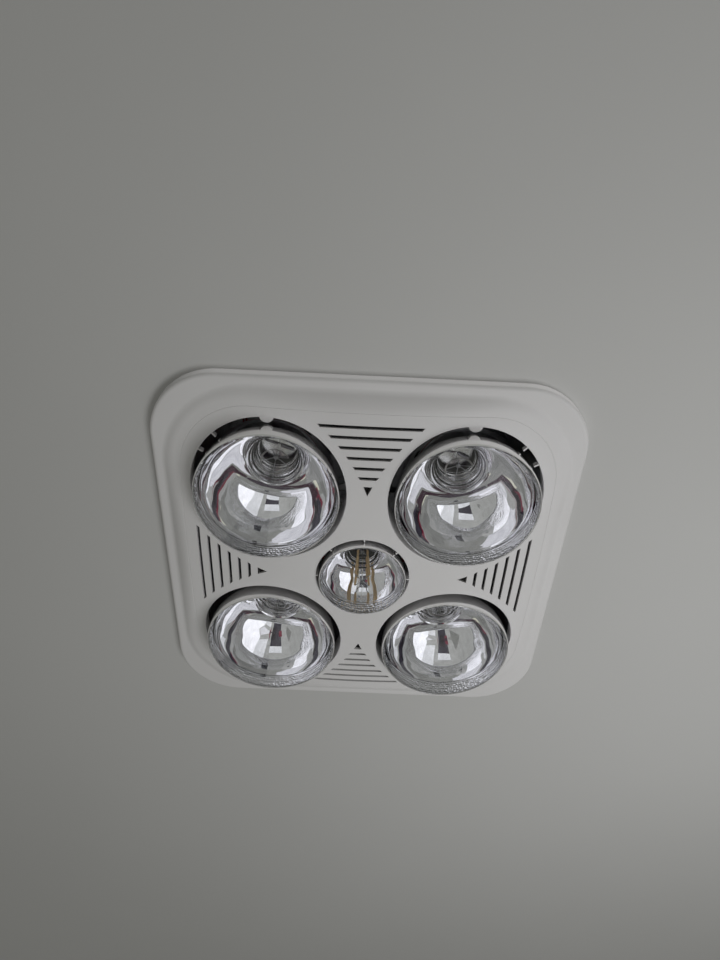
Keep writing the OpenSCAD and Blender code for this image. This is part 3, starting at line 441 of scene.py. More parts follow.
def lathe(profile, steps, bm=None, mat=0, closed=False):
    """Spins a profile of [radius, height] points about the upright axis."""
    bm = bm or bmesh.new()
    verts = [bm.verts.new((r, 0, z)) for r, z in profile]
    pairs = list(zip(verts, verts[1:] + verts[:1])) if closed else list(zip(verts, verts[1:]))
    edges = [bm.edges.new(pair) for pair in pairs]
    old = set(bm.faces)
    bmesh.ops.spin(bm, geom=verts + edges, cent=(0, 0, 0), axis=(0, 0, 1), angle=math.tau,
                   steps=steps, use_merge=True)
    made = [f for f in bm.faces if f not in old]
    bmesh.ops.remove_doubles(bm, verts=list({v for f in made for v in f.verts}), dist=1e-5)
    made = [f for f in bm.faces if f not in old]
    bmesh.ops.recalc_face_normals(bm, faces=made)
    for face in made:
        face.material_index = mat
    return bm


def rod(bm, start, end, radius, sides=12, mat=0):
    """Round rod between two points."""
    start, end = Vector(start), Vector(end)
    way = end - start
    turn = way.to_track_quat("Z", "Y").to_matrix().to_4x4()
    at = Matrix.Translation((start + end) / 2) @ turn
    made = bmesh.ops.create_cone(bm, cap_ends=True, segments=sides, radius1=radius, radius2=radius,
                                 depth=way.length, matrix=at)
    for face in {f for v in made["verts"] for f in v.link_faces}:
        face.material_index = mat


def tube(bm, points, radius, sides=8, mat=0):
    """Closed wire that follows a smooth list of points."""
    points = [Vector(p) for p in points]
    first = (points[1] - points[0]).normalized()
    turn = first.to_track_quat("Z", "Y")
    old = set(bm.faces)
    made = bmesh.ops.create_circle(bm, cap_ends=True, segments=sides, radius=radius,
                                   matrix=Matrix.Translation(points[0]) @ turn.to_matrix().to_4x4())
    ring = list({e for v in made["verts"] for e in v.link_edges})
    last_way = first
    for i in range(1, len(points)):
        here, before = points[i], points[i - 1]
        way = (points[i + 1] - here).normalized() if i + 1 < len(points) else last_way
        bend = last_way.rotation_difference(way)
        ring = pull_loop(bm, ring, lambda co: here + bend @ (co - before))
        last_way = way
    bmesh.ops.contextual_create(bm, geom=ring)
    made = [f for f in bm.faces if f not in old]
    bmesh.ops.recalc_face_normals(bm, faces=made)
    for face in made:
        face.material_index = mat


def arc(cx, cz, r, start, end, n):
    """Points of an arc between two angles in degrees."""
    return [(cx + r * math.cos(math.radians(a)), cz + r * math.sin(math.radians(a)))
            for a in (start + (end - start) * i / n for i in range(n + 1))]


def bend_points(a, b, c, d, n):
    """Points of a cubic curve after its start."""
    a, b, c, d = (Vector(p) for p in (a, b, c, d))
    return [tuple((1 - t) ** 3 * a + 3 * t * (1 - t) ** 2 * b + 3 * t * t * (1 - t) * c + t ** 3 * d)
            for t in (i / n for i in range(1, n + 1))]


def soft_less(a, b, k):
    """The lesser of two values, eased where they are closer than k."""
    h = max(k - abs(a - b), 0) / k
    return min(a, b) - h * h * k / 4


# Panel


def face_z(x, y):
    """Height of the domed face over a point of the panel."""
    return FACE_RADIUS - FACE_DEPTH - math.sqrt(FACE_RADIUS ** 2 - x * x - y * y)


def outline(bm, points):
    verts = [bm.verts.new((x, y, 0)) for x, y in points]
    return [bm.edges.new(pair) for pair in zip(verts, verts[1:] + verts[:1])]


def round_square(bm, half, corner, steps, cuts):
    """A square loop with round corners whose long sides are cut evenly."""
    made = bmesh.ops.create_grid(bm, x_segments=1, y_segments=1, size=half)
    bmesh.ops.bevel(bm, geom=made["verts"], offset=corner, offset_type="OFFSET", segments=steps,
                    profile=0.5, affect="VERTICES", material=-1)
    sides = [e for e in bm.edges if e.calc_length() > half]
    bmesh.ops.subdivide_edges(bm, edges=sides, cuts=cuts)
    bmesh.ops.delete(bm, geom=list(bm.faces), context="FACES_ONLY")
    return list(bm.edges)


def slot_points(k):
    half = SLOT_HALF - k * SLOT_SHORTER + SLOT_EASE * k * (k - 1) / 2
    out = SLOT_FIRST - k * SLOT_PITCH + SLOT_WIDTH / 2
    near = out - SLOT_WIDTH
    return [(-half - SLOT_SLANT, -out), (half + SLOT_SLANT, -out), (half - SLOT_SLANT, -near),
            (SLOT_SLANT - half, -near)]


def arrow_points():
    near = SLOT_FIRST - SLOT_COUNT * SLOT_PITCH + SLOT_WIDTH / 2
    return [(-ARROW_HALF, -near), (ARROW_HALF, -near), (0, ARROW_LENGTH - near)]


def turned(points, quarter):
    c, s = [(1, 0), (0, 1), (-1, 0), (0, -1)][quarter]
    return [(x * c - y * s, x * s + y * c) for x, y in points]


def openings():
    """Centre and radius of the four large openings and the middle one."""
    return [(x * LAMP_AT, y * LAMP_AT, HEAT_OPENING) for x, y in CORNERS.values()] + [(0, 0, LIGHT_OPENING)]


def core_of(co, core):
    """Nearest point of the square that the outline is drawn round, and the way out from it."""
    inner = Vector((max(-core, min(core, co.x)), max(-core, min(core, co.y)), 0))
    way = Vector((co.x, co.y, 0)) - inner
    return inner, way.normalized()


def step_z(co, inset):
    """Height of the raised face's side, eased into the face at its crest and the flange at its foot."""
    slope = RIM_DEPTH + inset
    foot = -soft_less(-RIM_DEPTH, -slope, FOOT_BLEND)
    return -soft_less(foot, -face_z(co.x, co.y), CREST_BLEND)


def line_profile():
    """Insets and depths of the thin moulded line, from its inner to its outer edge."""
    inner = LINE_INSET + LINE_WIDTH
    return [(inner, 0), (inner - 0.12, 0.5), (inner - 0.25, 1), (LINE_INSET + 0.25, 1), (LINE_INSET + 0.12, 0.5),
            (LINE_INSET, 0)]


def panel_skin():
    """The panel's outside as one sheet, with its openings left open."""
    bm = bmesh.new()
    core = STEP_HALF - STEP_CORNER
    plate_inset = LINE_INSET + LINE_WIDTH + BAND_STEP
    edges = round_square(bm, STEP_HALF - plate_inset, STEP_CORNER - plate_inset, 20, 12)
    for x, y, r in openings():
        made = bmesh.ops.create_circle(bm, segments=112 if r > 50 else 80, radius=r + LIP,
                                       matrix=Matrix.Translation((x, y, 0)))
        edges += list({e for v in made["verts"] for e in v.link_edges})
    for quarter in range(4):
        for k in range(SLOT_COUNT):
            edges += outline(bm, turned(slot_points(k), quarter))
        edges += outline(bm, turned(arrow_points(), quarter))
    bmesh.ops.triangle_fill(bm, use_beauty=True, edges=edges, normal=(0, 0, -1))
    for axis in (0, 1):
        for i in range(-15, 16):
            spot, way = [0, 0, 0], [0, 0, 0]
            spot[axis], way[axis] = i * GRID_STEP, 1
            bmesh.ops.bisect_plane(bm, geom=bm.verts[:] + bm.edges[:] + bm.faces[:], dist=1e-5,
                                   plane_co=spot, plane_no=way)
    for vert in bm.verts:
        for x, y, r in openings():
            off = Vector((vert.co.x - x, vert.co.y - y, 0))
            if vert.is_boundary and off.length < r + LIP + 0.5:
                vert.co = Vector((x, y, 0)) + off.normalized() * (r + LIP)
        vert.co.z = face_z(vert.co.x, vert.co.y)
    boundary = [e for e in bm.edges if e.is_boundary]
    for x, y, r in openings():
        loop = [e for e in boundary
                if all(abs(math.hypot(v.co.x - x, v.co.y - y) - r - LIP) < 0.01 for v in e.verts)]
        collar(bm, loop, x, y, r)
    outer = [e for e in boundary
             if all(max(abs(v.co.x), abs(v.co.y)) > STEP_HALF - plate_inset - 0.5
                    or math.hypot(abs(v.co.x) - core, abs(v.co.y) - core) > STEP_CORNER - plate_inset - 0.5
                    and min(abs(v.co.x), abs(v.co.y)) > core for v in e.verts)]
    outer_band(bm, outer, core)
    return bm


def collar(bm, loop, x, y, r):
    """Rounds the lip of an opening and runs its collar up behind the face."""
    centre = Vector((x, y, 0))

    def ring(radius, rise, level=None):
        def move(co):
            way = Vector((co.x - x, co.y - y, 0)).normalized()
            spot = centre + way * radius
            spot.z = level if level is not None else co.z + rise
            return spot
        return move

    for i in range(1, LIP_STEPS + 1):
        a, b = (math.radians(90 * q / LIP_STEPS) for q in (i - 1, i))
        loop = pull_loop(bm, loop, ring(r + LIP * (1 - math.sin(b)), LIP * (math.cos(a) - math.cos(b))))
    loop = pull_loop(bm, loop, ring(r, 3))
    pull_loop(bm, loop, ring(r, 0, COLLAR_TOP))


def outer_band(bm, loop, core):
    """Carries the face outwards over the line, the crest, the foot, the flange and the rim."""

    def on_step(inset, lift):
        def move(co):
            inner, way = core_of(co, core)
            spot = inner + way * (STEP_CORNER - inset)
            spot.z = step_z(spot, inset) + lift
            return spot
        return move

    for inset, share in line_profile():
        loop = pull_loop(bm, loop, on_step(inset, share * LINE_DEPTH))
    inset = LINE_INSET
    while inset > -2:
        inset -= BAND_STEP
        loop = pull_loop(bm, loop, on_step(inset, 0))
    rim_core = PANEL_HALF - PANEL_CORNER

    def on_rim(edge_inset, z, stretch):
        def move(co):
            inner, way = core_of(co, rim_core if stretch == 1 else core)
            spot = inner * stretch + way * (PANEL_CORNER - edge_inset)
            spot.z = z
            return spot
        return move

    loop = pull_loop(bm, loop, on_rim(RIM_EDGE, -RIM_DEPTH, rim_core / core))
    for i in range(1, RIM_STEPS + 1):
        a = math.radians(90 * i / RIM_STEPS)
        rise = RIM_EDGE * (1 - math.cos(a))
        loop = pull_loop(bm, loop, on_rim(RIM_EDGE * (1 - math.sin(a)), -RIM_DEPTH + rise, 1))
    pull_loop(bm, loop, on_rim(0, 0, 1))


def panel():
    """The moulding: its outside as a skin, with the wall grown inwards."""
    bm = panel_skin()
    bmesh.ops.remove_doubles(bm, verts=bm.verts, dist=1e-4)
    bmesh.ops.dissolve_degenerate(bm, edges=bm.edges, dist=1e-3)
    bmesh.ops.recalc_face_normals(bm, faces=bm.faces)
    face = min(bm.faces, key=lambda f: f.calc_center_median().length + 200 * (f.calc_area() < 5))
    if face.normal.z > 0:
        bmesh.ops.reverse_faces(bm, faces=bm.faces)
    mark_edges(bm)
    made = piece(bm, "panel_moulding", "panel", [PLASTIC])
    wall = made.modifiers.new("wall", "SOLIDIFY")
    wall.thickness = WALL * MM
    wall.offset = -1
    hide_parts("fascia")


def prism(bm, points, low, high):
    """Upright solid over an outline of [x, y] points."""
    verts = [bm.verts.new((x, y, low)) for x, y in points]
    edges = [bm.edges.new(pair) for pair in zip(verts, verts[1:] + verts[:1])]
    base = bmesh.ops.contextual_create(bm, geom=edges)["faces"]
    grown = bmesh.ops.extrude_face_region(bm, geom=base, use_keep_orig=True)["geom"]
    bmesh.ops.translate(bm, vec=(0, 0, high - low),
                        verts=[g for g in grown if isinstance(g, bmesh.types.BMVert)])


def block(x0, x1, half, turn, centre):
    """Outline of a plain block that reaches from x0 to x1 along a turned line through the centre."""
    c, s = math.cos(turn), math.sin(turn)
    return [(centre[0] + x * c - y * s, centre[1] + x * s + y * c)
            for x, y in ((x0, -half), (x1, -half), (x1, half), (x0, half))]


def tab_outline(centre, side):
    """Round tab cut off along the collar's middle."""
    mid, r = HEAT_OPENING - TAB_REACH + TAB_WIDTH / 2, TAB_WIDTH / 2
    points = []
    for i in range(41):
        a = math.radians(-90 - TAB_SWEEP * (i / 40 - 0.5))
        x, y = r * math.cos(a), mid + r * math.sin(a)
        if math.hypot(x, y) <= HEAT_OPENING + TRIM_SEAT:
            points.append((centre[0] + x, centre[1] + side * y))
    return points


def round_outline(centre, r):
    return [(centre[0] + r * math.cos(a), centre[1] + r * math.sin(a))
            for a in (math.radians(15 * i) for i in range(24))]


def panel_trims():
    """Tabs and ribs in the openings, and the posts and clip seats behind the face."""
    bm = bmesh.new()
    clip = CLIP_AT * math.sqrt(2)
    for sx, sy in CORNERS.values():
        centre = (sx * LAMP_AT, sy * LAMP_AT)
        level = face_z(centre[0], centre[1] + sy * HEAT_OPENING) + TRIM_SET
        prism(bm, tab_outline(centre, sy), level, TRIM_TOP)
        for a in RIB_ANGLES:
            turn = math.atan2(sy * math.sin(math.radians(a)), sx * math.cos(math.radians(a)))
            spot = (centre[0] + HEAT_OPENING * math.cos(turn), centre[1] + HEAT_OPENING * math.sin(turn))
            rib = block(HEAT_OPENING - RIB_REACH, HEAT_OPENING + TRIM_SEAT, RIB / 2, turn, centre)
            prism(bm, rib, face_z(*spot) + TRIM_SET, TRIM_TOP)
        seat = block(clip - CLIP_SEAT_HALF[0], clip + CLIP_SEAT_HALF[0], CLIP_SEAT_HALF[1],
                     math.atan2(sy, sx), (0, 0))
        prism(bm, seat, face_z(sx * CLIP_AT, sy * CLIP_AT) + WALL / 2, CLIP_SEAT_TOP)
    for k in range(LIGHT_RIBS):
        rib = block(LIGHT_OPENING - LIGHT_RIB_REACH, LIGHT_OPENING + TRIM_SEAT, RIB / 2,
                    math.radians(k * 360 / LIGHT_RIBS), (0, 0))
        prism(bm, rib, -FACE_DEPTH + WALL / 2, LIGHT_RIB_TOP)
    for quarter in range(4):
        for x in (-POST_ALONG, POST_ALONG):
            spot = turned([(x, POST_AT)], quarter)[0]
            prism(bm, round_outline(spot, POST_RADIUS), face_z(*spot) + 2, POST_TOP)
    bmesh.ops.recalc_face_normals(bm, faces=bm.faces)
    mark_edges(bm)
    made = piece(bm, "panel_trims", "panel", [PLASTIC])
    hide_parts("fascia")


# Lamps


def swell(run, pitch):
    """A wave from 0 to 1 and back over each pitch."""
    return (1 - math.cos(math.tau * run / pitch)) / 2


def pressed_bowl(lamp):
    """Inside of the bowl from its rim to the neck: a short upright wall, a flatter mirror and a steep throat,
    with fine rings at the rim, slow waves that die out upwards, and closer ones in the throat."""
    start, high, count = lamp["sag"] + lamp["rim"] + BOWL_START, lamp["bowl"], MIRROR_STEPS
    leans = []
    for i in range(count + 1):
        share = i / count
        k = max(n for n in range(len(BOWL_LEANS) - 1) if BOWL_LEANS[n][0] <= share)
        (a, low), (b, top) = BOWL_LEANS[k], BOWL_LEANS[k + 1]
        leans.append(math.radians(low + (top - low) * (share - a) / (b - a)))
    drops = [high / count / math.tan(lean) for lean in leans]
    wide = lamp["r"] - GLASS
    scale = (wide - lamp["neck"] + GLASS) / sum(drops[:-1])
    points, r, run = [], wide, 0
    for i, lean in enumerate(leans):
        share = i / count
        dip = WAVE_DEPTH * max(0, 1 - share / WAVE_UNTIL) * swell(run, lamp["wave"])
        if run < RING_PITCH * RING_COUNT:
            dip += RING_DEPTH * swell(run, RING_PITCH)
        if share > THROAT_FROM:
            dip += THROAT_DEPTH * swell((share - THROAT_FROM) * high, THROAT_PITCH)
        points.append((r - dip * math.sin(lean), start + high * share - dip * math.cos(lean)))
        r -= drops[i] * scale
        run += math.hypot(drops[i] * scale, high / count)
    return points


def glass_profile(lamp, inset):
    """Outline of a lamp's glass in four parts: front, rim, bowl, and the turn into the neck with the neck's end.
    An inset gives its inside, where the bowl carries the mirror."""
    r, sag, rim, neck, high = (lamp[k] for k in ("r", "sag", "rim", "neck", "bowl"))
    end = lamp["length"] - CAP_LENGTH + GLASS_IN_CAP
    edge = r - rim
    front = (edge * edge + sag * sag) / (2 * sag)
    lean = math.degrees(math.asin(edge / front))
    dome = [((front - inset) * math.sin(math.radians(lean * i / 16)),
             front - (front - inset) * math.cos(math.radians(lean * i / 16))) for i in range(17)]
    shoulder = arc(edge, sag + rim, rim - inset, lean - 90, 0, 10)[1:]
    if inset:
        bowl = pressed_bowl(lamp)
        turn = [(neck - inset, bowl[-1][1] + MIRROR_PAST)]
    else:
        last, start = math.radians(BOWL_ANGLE), sag + rim + BOWL_START
        bowl = [(r * math.cos(last * i / 40), start + high * math.sin(last * i / 40)) for i in range(41)]
        a = Vector((*bowl[-1], 0))
        way = Vector((-r * math.sin(last), high * math.cos(last), 0)).normalized()
        b = Vector((neck, a.y + NECK_RISE, 0))
        bend = bend_points(a, a + way * NECK_PULL, b - Vector((0, NECK_PULL, 0)), b, 10)
        turn = [(p[0], p[1]) for p in bend]
    tip = GLASS_TIP - inset
    return dome, shoulder, bowl, turn + [(neck - inset, end - TAPER_FROM), (tip, end - TAPER_TO), (tip, end)]


def lamp_pieces(lamp, name, body, at, node):
    """Clear front and mirrored bowl of one lamp; the inside of the neck gets near-black painted shade."""
    lift = lamp["front"]
    outer, inner = glass_profile(lamp, 0), glass_profile(lamp, GLASS)
    front = outer[0] + outer[1][:COAT_FROM + 1]
    back = inner[0] + inner[1][:COAT_FROM + 1]
    bm = lathe([(r, z + lift) for r, z in front + back[::-1]], lamp["sides"])
    bmesh.ops.translate(bm, vec=(*at, 0), verts=bm.verts)
    mark_edges(bm, 60)
    glass = piece(bm, name + "_front", body, [FRONT_GLASS])
    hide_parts(node)
    inside = inner[1][COAT_FROM:] + inner[2] + inner[3]
    shell = outer[1][COAT_FROM:] + outer[2] + outer[3] + inside[::-1]
    bm = lathe([(r, z + lift) for r, z in shell], lamp["sides"], closed=True)
    neck, dimpled = lift + inner[3][0][1], lift + inner[2][0][1] + STIPPLE_HEIGHT
    for face in bm.faces:
        mid = face.calc_center_median()
        if face.normal.x * mid.x + face.normal.y * mid.y > 0:
            face.material_index = 3
        # Inner faces above the start of the neck get the near-black painted shade.
        elif mid.z > neck:
            face.material_index = 2
        elif mid.z < dimpled:
            face.material_index = 1
    bmesh.ops.translate(bm, vec=(*at, 0), verts=bm.verts)
    mark_edges(bm, 60)
    bowl = piece(bm, name + "_bowl", body, [MIRROR, STIPPLE, NECK_PAINTED_SHADE, OUTER_COAT])
    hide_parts(node)


def glass_stem(bm, head, end):
    """Solid of revolution from the stem's head to its foot in the cap."""
    lathe([(0, head[0][1])] + head + [(STEM_FOOT - 1, end - STEM_FOOT_HIGH), (STEM_FOOT - 1, end - 1),
                                      (STEM_FOOT, end - 1), (STEM_FOOT, end), (0, end)], 40, bm)


def round_way(angle):
    """Steps along x and y for an angle in degrees."""
    return math.cos(math.radians(angle)), math.sin(math.radians(angle))


def heat_mount(bm, tip):
    """Glass stem, supports, coiled filament and the heat shield disc in the neck."""
    ring_z = tip - HEAT["length"] + COIL_HEIGHT
    stem_tip, disc_z = ring_z + STEM_ABOVE, ring_z + DISC_ABOVE
    end = tip - CAP_LENGTH + GLASS_IN_CAP
    glass_stem(bm, [(PIN_RADIUS, stem_tip), (PIN_RADIUS, disc_z + 1), (STEM_RADIUS, disc_z + 3),
                    (STEM_RADIUS, end - TAPER_FROM)], end)
    points = []
    for i in range(COIL_POINTS + 1):
        c, s = round_way(SPOKES[0] + COIL_SWEEP * i / COIL_POINTS)
        b = math.tau * COIL_TURNS * i / COIL_POINTS
        r = COIL_RING + COIL_RADIUS * math.cos(b)
        points.append((r * c, r * s, ring_z + COIL_RADIUS * math.sin(b)))
    tube(bm, points, COIL_WIRE, 5, mat=2)
    lathe([(0, stem_tip - 1.2), (BUTTON_RADIUS, stem_tip - 0.8), (BUTTON_RADIUS, stem_tip), (0, stem_tip)],
          24, bm, mat=1)
    for angle in SPOKES:
        c, s = round_way(angle)
        rod(bm, (COIL_RING * c, COIL_RING * s, ring_z), (1.8 * c, 1.8 * s, stem_tip - 0.5), SPOKE_RADIUS, mat=1)
    for angle in STRAPS:
        c, s = round_way(angle)
        strap_z = disc_z - STRAP_RADIUS - 0.1
        rod(bm, (1.9 * c, 1.9 * s, strap_z), (STRAP_REACH * c, STRAP_REACH * s, strap_z), STRAP_RADIUS, mat=1)
    lathe([(DISC_HOLE, disc_z), (DISC_RADIUS, disc_z), (DISC_RADIUS, disc_z + DISC_THICK),
           (DISC_HOLE, disc_z + DISC_THICK)], 48, bm, mat=3, closed=True)


def heat_lamp(name, corner):
    at = (corner[0] * LAMP_AT, corner[1] * LAMP_AT)
    body = "lamp_" + name
    lamp_pieces(HEAT, "heat_lamp_" + name, body, at, "bulb_" + name)
    bm = bmesh.new()
    heat_mount(bm, HEAT["length"] + HEAT["front"])
    bmesh.ops.translate(bm, vec=(*at, 0), verts=bm.verts)
    mark_edges(bm)
    mount = piece(bm, "heat_mount_" + name, body, [STEM_GLASS, WIRE, TUNGSTEN, SHIELD])
    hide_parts("filament_" + name)


def light_lamp():
    """The middle lamp, with its stem, the four sticks and their leads."""
    lamp_pieces(LIGHT, "light_lamp", "light_lamp", (0, 0), "light_bulb")
    bm = bmesh.new()
    tip = LIGHT["length"] + LIGHT["front"]
    end = tip - CAP_LENGTH + GLASS_IN_CAP
    low = tip - LIGHT["length"] + STICK_FROM
    top = low + STICK_LENGTH
    hub = top + 3
    glass_stem(bm, [(2.4, hub - 4), (3, hub - 2), (3, hub + 4)], end)
    rod(bm, (0, 0, low), (0, 0, hub - 3), 0.6)
    for angle in STICKS:
        c, s = round_way(angle)
        upper = Vector((STICK_TOP_AT * c, STICK_TOP_AT * s, top - STICK_SET))
        lower = Vector((STICK_LOW_AT * c, STICK_LOW_AT * s, low + STICK_SET))
        rod(bm, upper, lower, STICK_RADIUS, 16, mat=2)
        above, below = upper + Vector((0, 0, STICK_SET + 1)), lower - Vector((0, 0, 1.2))
        for a, b in ((upper, above), ((0, 0, hub - 3), above), ((0, 0, below.z), below),
                     (below - Vector((0, 0, 0.4)), lower)):
            rod(bm, a, b, LEAD_RADIUS, 8, mat=1)
    mark_edges(bm)
    mount = piece(bm, "light_mount", "light_lamp", [STEM_GLASS, WIRE, AMBER])
    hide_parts("light_filaments")


# CAD nodes that keep their shape


def dress_nodes():
    """Gives every carried-over node the finish of its material slot."""
    slots = {part["node"]: part["material_slot"] for part in frame["record"]["subparts"]}
    for name, node in nodes.items():
        finish = FINISHES.get(slots.get(name))
        if finish is None:
            continue
        node.data.materials.clear()
        node.data.materials.append(finish)


# Stage, light and camera


def shown_by(mat, source, out, first, second, end):
    """Mixes two shaders by one output of a node, from the first at 0 to the second at 1."""
    mix = add(mat, "MixShader")
    join(mat, source, out, mix, "Fac")
    join(mat, *first, mix, 1)
    join(mat, *second, mix, 2)
    join(mat, mix, "Shader", mat.node_tree.nodes[end], "Surface")


def one_sided(name, colour):
    """Matt finish that is seen only from the side that the face looks to."""
    mat, shader = finish_of(name, colour, 0.8)
    mottle(mat, shader, tuple(c * 0.97 for c in colour), colour, 2.5)
    side = add(mat, "NewGeometry")
    clear = add(mat, "BsdfTransparent")
    shown_by(mat, side, "Backfacing", (shader, "BSDF"), (clear, "BSDF"), "Material Output")
    return mat


def stage_sheet(name, z, down, mat, hole=None):
    """Wide flat sheet that faces up or down, with a round-cornered hole where its half width and corner are given."""
    bm = bmesh.new()
    if hole:
        round_square(bm, *hole, 12, 1)
    bmesh.ops.create_grid(bm, x_segments=1, y_segments=1, size=HORIZON)
    if hole:
        bmesh.ops.delete(bm, geom=list(bm.faces), context="FACES_ONLY")
        bmesh.ops.triangle_fill(bm, use_beauty=True, edges=bm.edges)
    bmesh.ops.translate(bm, vec=(0, 0, z), verts=bm.verts)
    bm.normal_update()
    bmesh.ops.reverse_faces(bm, faces=[f for f in bm.faces if (f.normal.z > 0) == down])
    made = object_from(bm, name, [mat])
    return made


def hide_from(obj, rays):
    for ray in rays:
        setattr(obj, "visible_" + ray, False)


def floor_finish():
    """Matt and pale; a part of its tone shows to the camera alone, so the object's shadow stays."""
    mat = one_sided("pale_floor", (0.4, 0.4, 0.395))
    shader = mat.node_tree.nodes["Principled BSDF"]
    rays = add(mat, "LightPath")
    glow = add(mat, "MapRange", to_max=PALE)
    shader.inputs["Emission Color"].default_value = (1, 1, 1, 1)
    join(mat, rays, "Is Camera Ray", glow, "Value")
    join(mat, glow, "Result", shader, "Emission Strength")
    return mat


def stage():
    """The ceiling that the photo shows, and for views from above a floor under the lamps' lowest place. The
    ceiling shows from below only, and the lights above it shine through."""
    ceiling = stage_sheet("ceiling", CEILING_GAP, True, one_sided("ceiling_paint", (0.5, 0.498, 0.49)), LIP_HOLE)
    floor = stage_sheet("floor", cad_low[2] - LAMP_TRAVEL - FLOOR_GAP, False, floor_finish())
    hide_from(floor, ("diffuse", "glossy", "transmission", "shadow", "volume_scatter"))
    return ceiling


def card(name, corners, colour, strength=1.0):
    """A flat thing in the room that shows only in the lamps' mirrors and in gloss."""
    mat = bpy.data.materials.new(name)
    mat.use_nodes = True
    tree = mat.node_tree
    tree.nodes.remove(tree.nodes["Principled BSDF"])
    glow = add(mat, "Emission", strength=strength)
    join(mat, glow, "Emission", tree.nodes["Material Output"], "Surface")
    noise = add(mat, "TexNoise", scale=3.0, detail=4.0)
    ramp = two_tones(mat, [c * 0.8 for c in colour], colour, 0.3, 0.7)
    join(mat, place(mat), "Object", noise, "Vector")
    join(mat, noise, "Fac", ramp, "Fac")
    join(mat, ramp, "Color", glow, "Color")
    mat.cycles.emission_sampling = "NONE"
    bm = bmesh.new()
    bmesh.ops.contextual_create(bm, geom=[bm.verts.new(c) for c in corners])
    made = object_from(bm, name, [mat])
    hide_from(made, ("camera", "diffuse", "shadow", "volume_scatter"))


def wall(name, a, b, low, high, colour, strength=1.0):
    """Upright card between two points of the plan."""
    card(name, [(*a, low), (*b, low), (*b, high), (*a, high)], colour, strength)


def room():
    """Plain shapes for what the lamps mirror: walls, window, door, bath, mats, towel, coat and doorway."""
    floor, below = -2.4, -2.38
    card("room_floor", [(-3, -3, floor), (3, -3, floor), (3, 3, floor), (-3, 3, floor)], (0.3, 0.3, 0.285))
    left, right, front, back = -1.3, 1.4, -1.6, 1.6
    for name, a, b, tone in (("room_left", (left, front), (left, back), 0.42),
                             ("room_right", (right, front), (right, back), 0.5),
                             ("room_front", (left, front), (right, front), 0.46),
                             ("room_back", (left, back), (right, back), 0.36)):
        wall(name, a, b, floor, -0.01, (tone, tone, tone * 0.98))
    dark_pane, red, door = (0.04, 0.035, 0.05), (0.2, 0.03, 0.055), (-0.6, 0.22)
    wall("left_tiles", (-1.29, front), (-1.29, back), floor, -1.5, (0.24, 0.24, 0.23))
    wall("window", (1.38, -1.58), (1.38, 0.3), -1.9, -0.35, (0.95, 0.94, 1.0), 1.5)
    wall("bright_wall", (0.5, -1.58), (1.38, -1.58), -1.7, -0.3, (0.86, 0.86, 0.9), 1.1)
    wall("door", (door[0], -1.58), (door[1], -1.58), floor, -1.17, (0.05, 0.045, 0.06))
    wall("over_door", (door[0], -1.58), (door[1], -1.58), -1.17, -0.9, (0.9, 0.9, 0.95))
    wall("low_pane", (1.37, 0.75), (1.37, 1.05), -1.42, -1.12, dark_pane)
    wall("top_pane", (1.37, 0.8), (1.37, 1.15), -0.78, -0.48, dark_pane)
    wall("towel", (-0.72, -1.57), (-0.42, -1.57), floor, -1.85, red)
    sheets = (("bath", (0.45, 1.3), (-1.4, 0.6), -1.9, (0.9, 0.89, 0.95)),
              ("cream_mat", (-0.86, -0.5), (-1.42, -1.08), below, (0.82, 0.8, 0.66)),
              ("red_mat", (-0.6, -0.16), (-1.58, -1.3), -2.37, red),
              ("dark_mat", (-0.4, 0.3), (-0.62, 0.02), below, (0.06, 0.045, 0.06)))
    for name, (x0, x1), (y0, y1), z, colour in sheets:
        card(name, [(x0, y0, z), (x1, y0, z), (x1, y1, z), (x0, y1, z)], colour)
    wall("coat", (-0.26, -0.66), (0.2, -0.66), floor, -0.98, (0.05, 0.022, 0.035))
    wall("coat_side", (0.2, -0.66), (0.2, -0.9), floor, -0.98, (0.2, 0.03, 0.05))
    wall("head", (-0.1, -0.66), (0.07, -0.66), -0.98, -0.74, (0.03, 0.025, 0.03))
    wall("doorway", (-0.9, 1.58), (-0.3, 1.58), floor, -0.5, (0.03, 0.03, 0.035))


def area_light(name, spot, target, size, power, colour=(1, 1, 1)):
    """Square light that shows in no mirror."""
    data = bpy.data.lights.new(name, "AREA")
    data.shape = "RECTANGLE"
    data.size = data.size_y = size
    data.energy = power
    data.color = colour
    made = bpy.data.objects.new(name, data)
    made.location = spot
    made.rotation_euler = (Vector(target) - Vector(spot)).to_track_quat("-Z", "Y").to_euler()
    hide_from(made, ("camera", "glossy", "transmission"))
    bpy.context.scene.collection.objects.link(made)
    return made


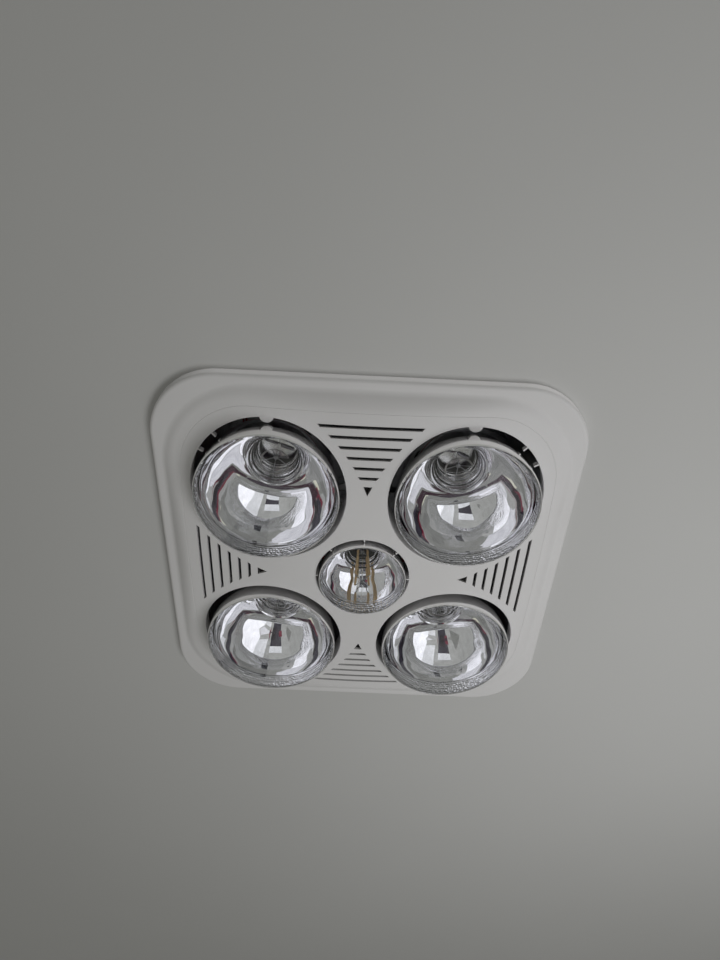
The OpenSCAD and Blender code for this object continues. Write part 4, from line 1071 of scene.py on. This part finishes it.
def lights(ceiling):
    """One light below for the panel, and two above for the housing that shine through the ceiling."""
    area_light("window_light", (0.43, 0.02, -0.83), (0.43, 0.02, 0), 0.5, 3.9, (0.985, 0.99, 1.0))
    key = area_light("upper_key", (0.7, -1.0, 1.1), (0, 0, 0.1), 0.8, 14)
    fill = area_light("upper_fill", (-1.0, 0.8, 0.9), (0, 0, 0.1), 0.8, 7)
    passed = bpy.data.collections.new("let_through")
    passed.objects.link(ceiling)
    passed.collection_objects[0].light_linking.link_state = "EXCLUDE"
    for above in (key, fill):
        above.light_linking.blocker_collection = passed


def world():
    """Pale to the camera, and a plain room to everything else."""
    made = bpy.data.worlds.new("room")
    made.use_nodes = True
    bpy.context.scene.world = made
    plain = made.node_tree.nodes["Background"]
    plain.inputs["Color"].default_value = (PALE, PALE, PALE, 1)
    around = add(made, "Background")
    coord = add(made, "TexCoord")
    split = add(made, "SeparateXYZ")
    level = add(made, "MapRange", from_min=-1)
    ramp = add(made, "ValToRGB")
    marks = ramp.color_ramp
    tones = [(0.0, 0.22), (0.3, 0.235), (0.5, 0.25), (0.56, 0.7), (1.0, 0.8)]
    for i, (spot, tone) in enumerate(tones):
        mark = marks.elements[i] if i < 2 else marks.elements.new(spot)
        mark.position = spot
        mark.color = (tone * 0.995, tone, tone * 0.93, 1)
    join(made, coord, "Generated", split, "Vector")
    join(made, split, "Z", level, "Value")
    join(made, level, "Result", ramp, "Fac")
    join(made, ramp, "Color", around, "Color")
    rays = add(made, "LightPath")
    shown_by(made, rays, "Is Camera Ray", (around, "Background"), (plain, "Background"), "World Output")


def camera():
    data = bpy.data.cameras.new("camera")
    data.lens = CAMERA_LENS
    data.sensor_width = 36
    data.clip_start = 0.01
    made = bpy.data.objects.new("camera", data)
    made.location = CAMERA_AT
    made.rotation_euler = [math.radians(a) for a in CAMERA_TURN]
    bpy.context.scene.collection.objects.link(made)
    bpy.context.scene.camera = made


bpy.context.scene.view_settings.view_transform = "Standard"
dress_nodes()
panel()
panel_trims()
for corner_name, corner in CORNERS.items():
    heat_lamp(corner_name, corner)
light_lamp()
room()
lights(stage())
world()
camera()
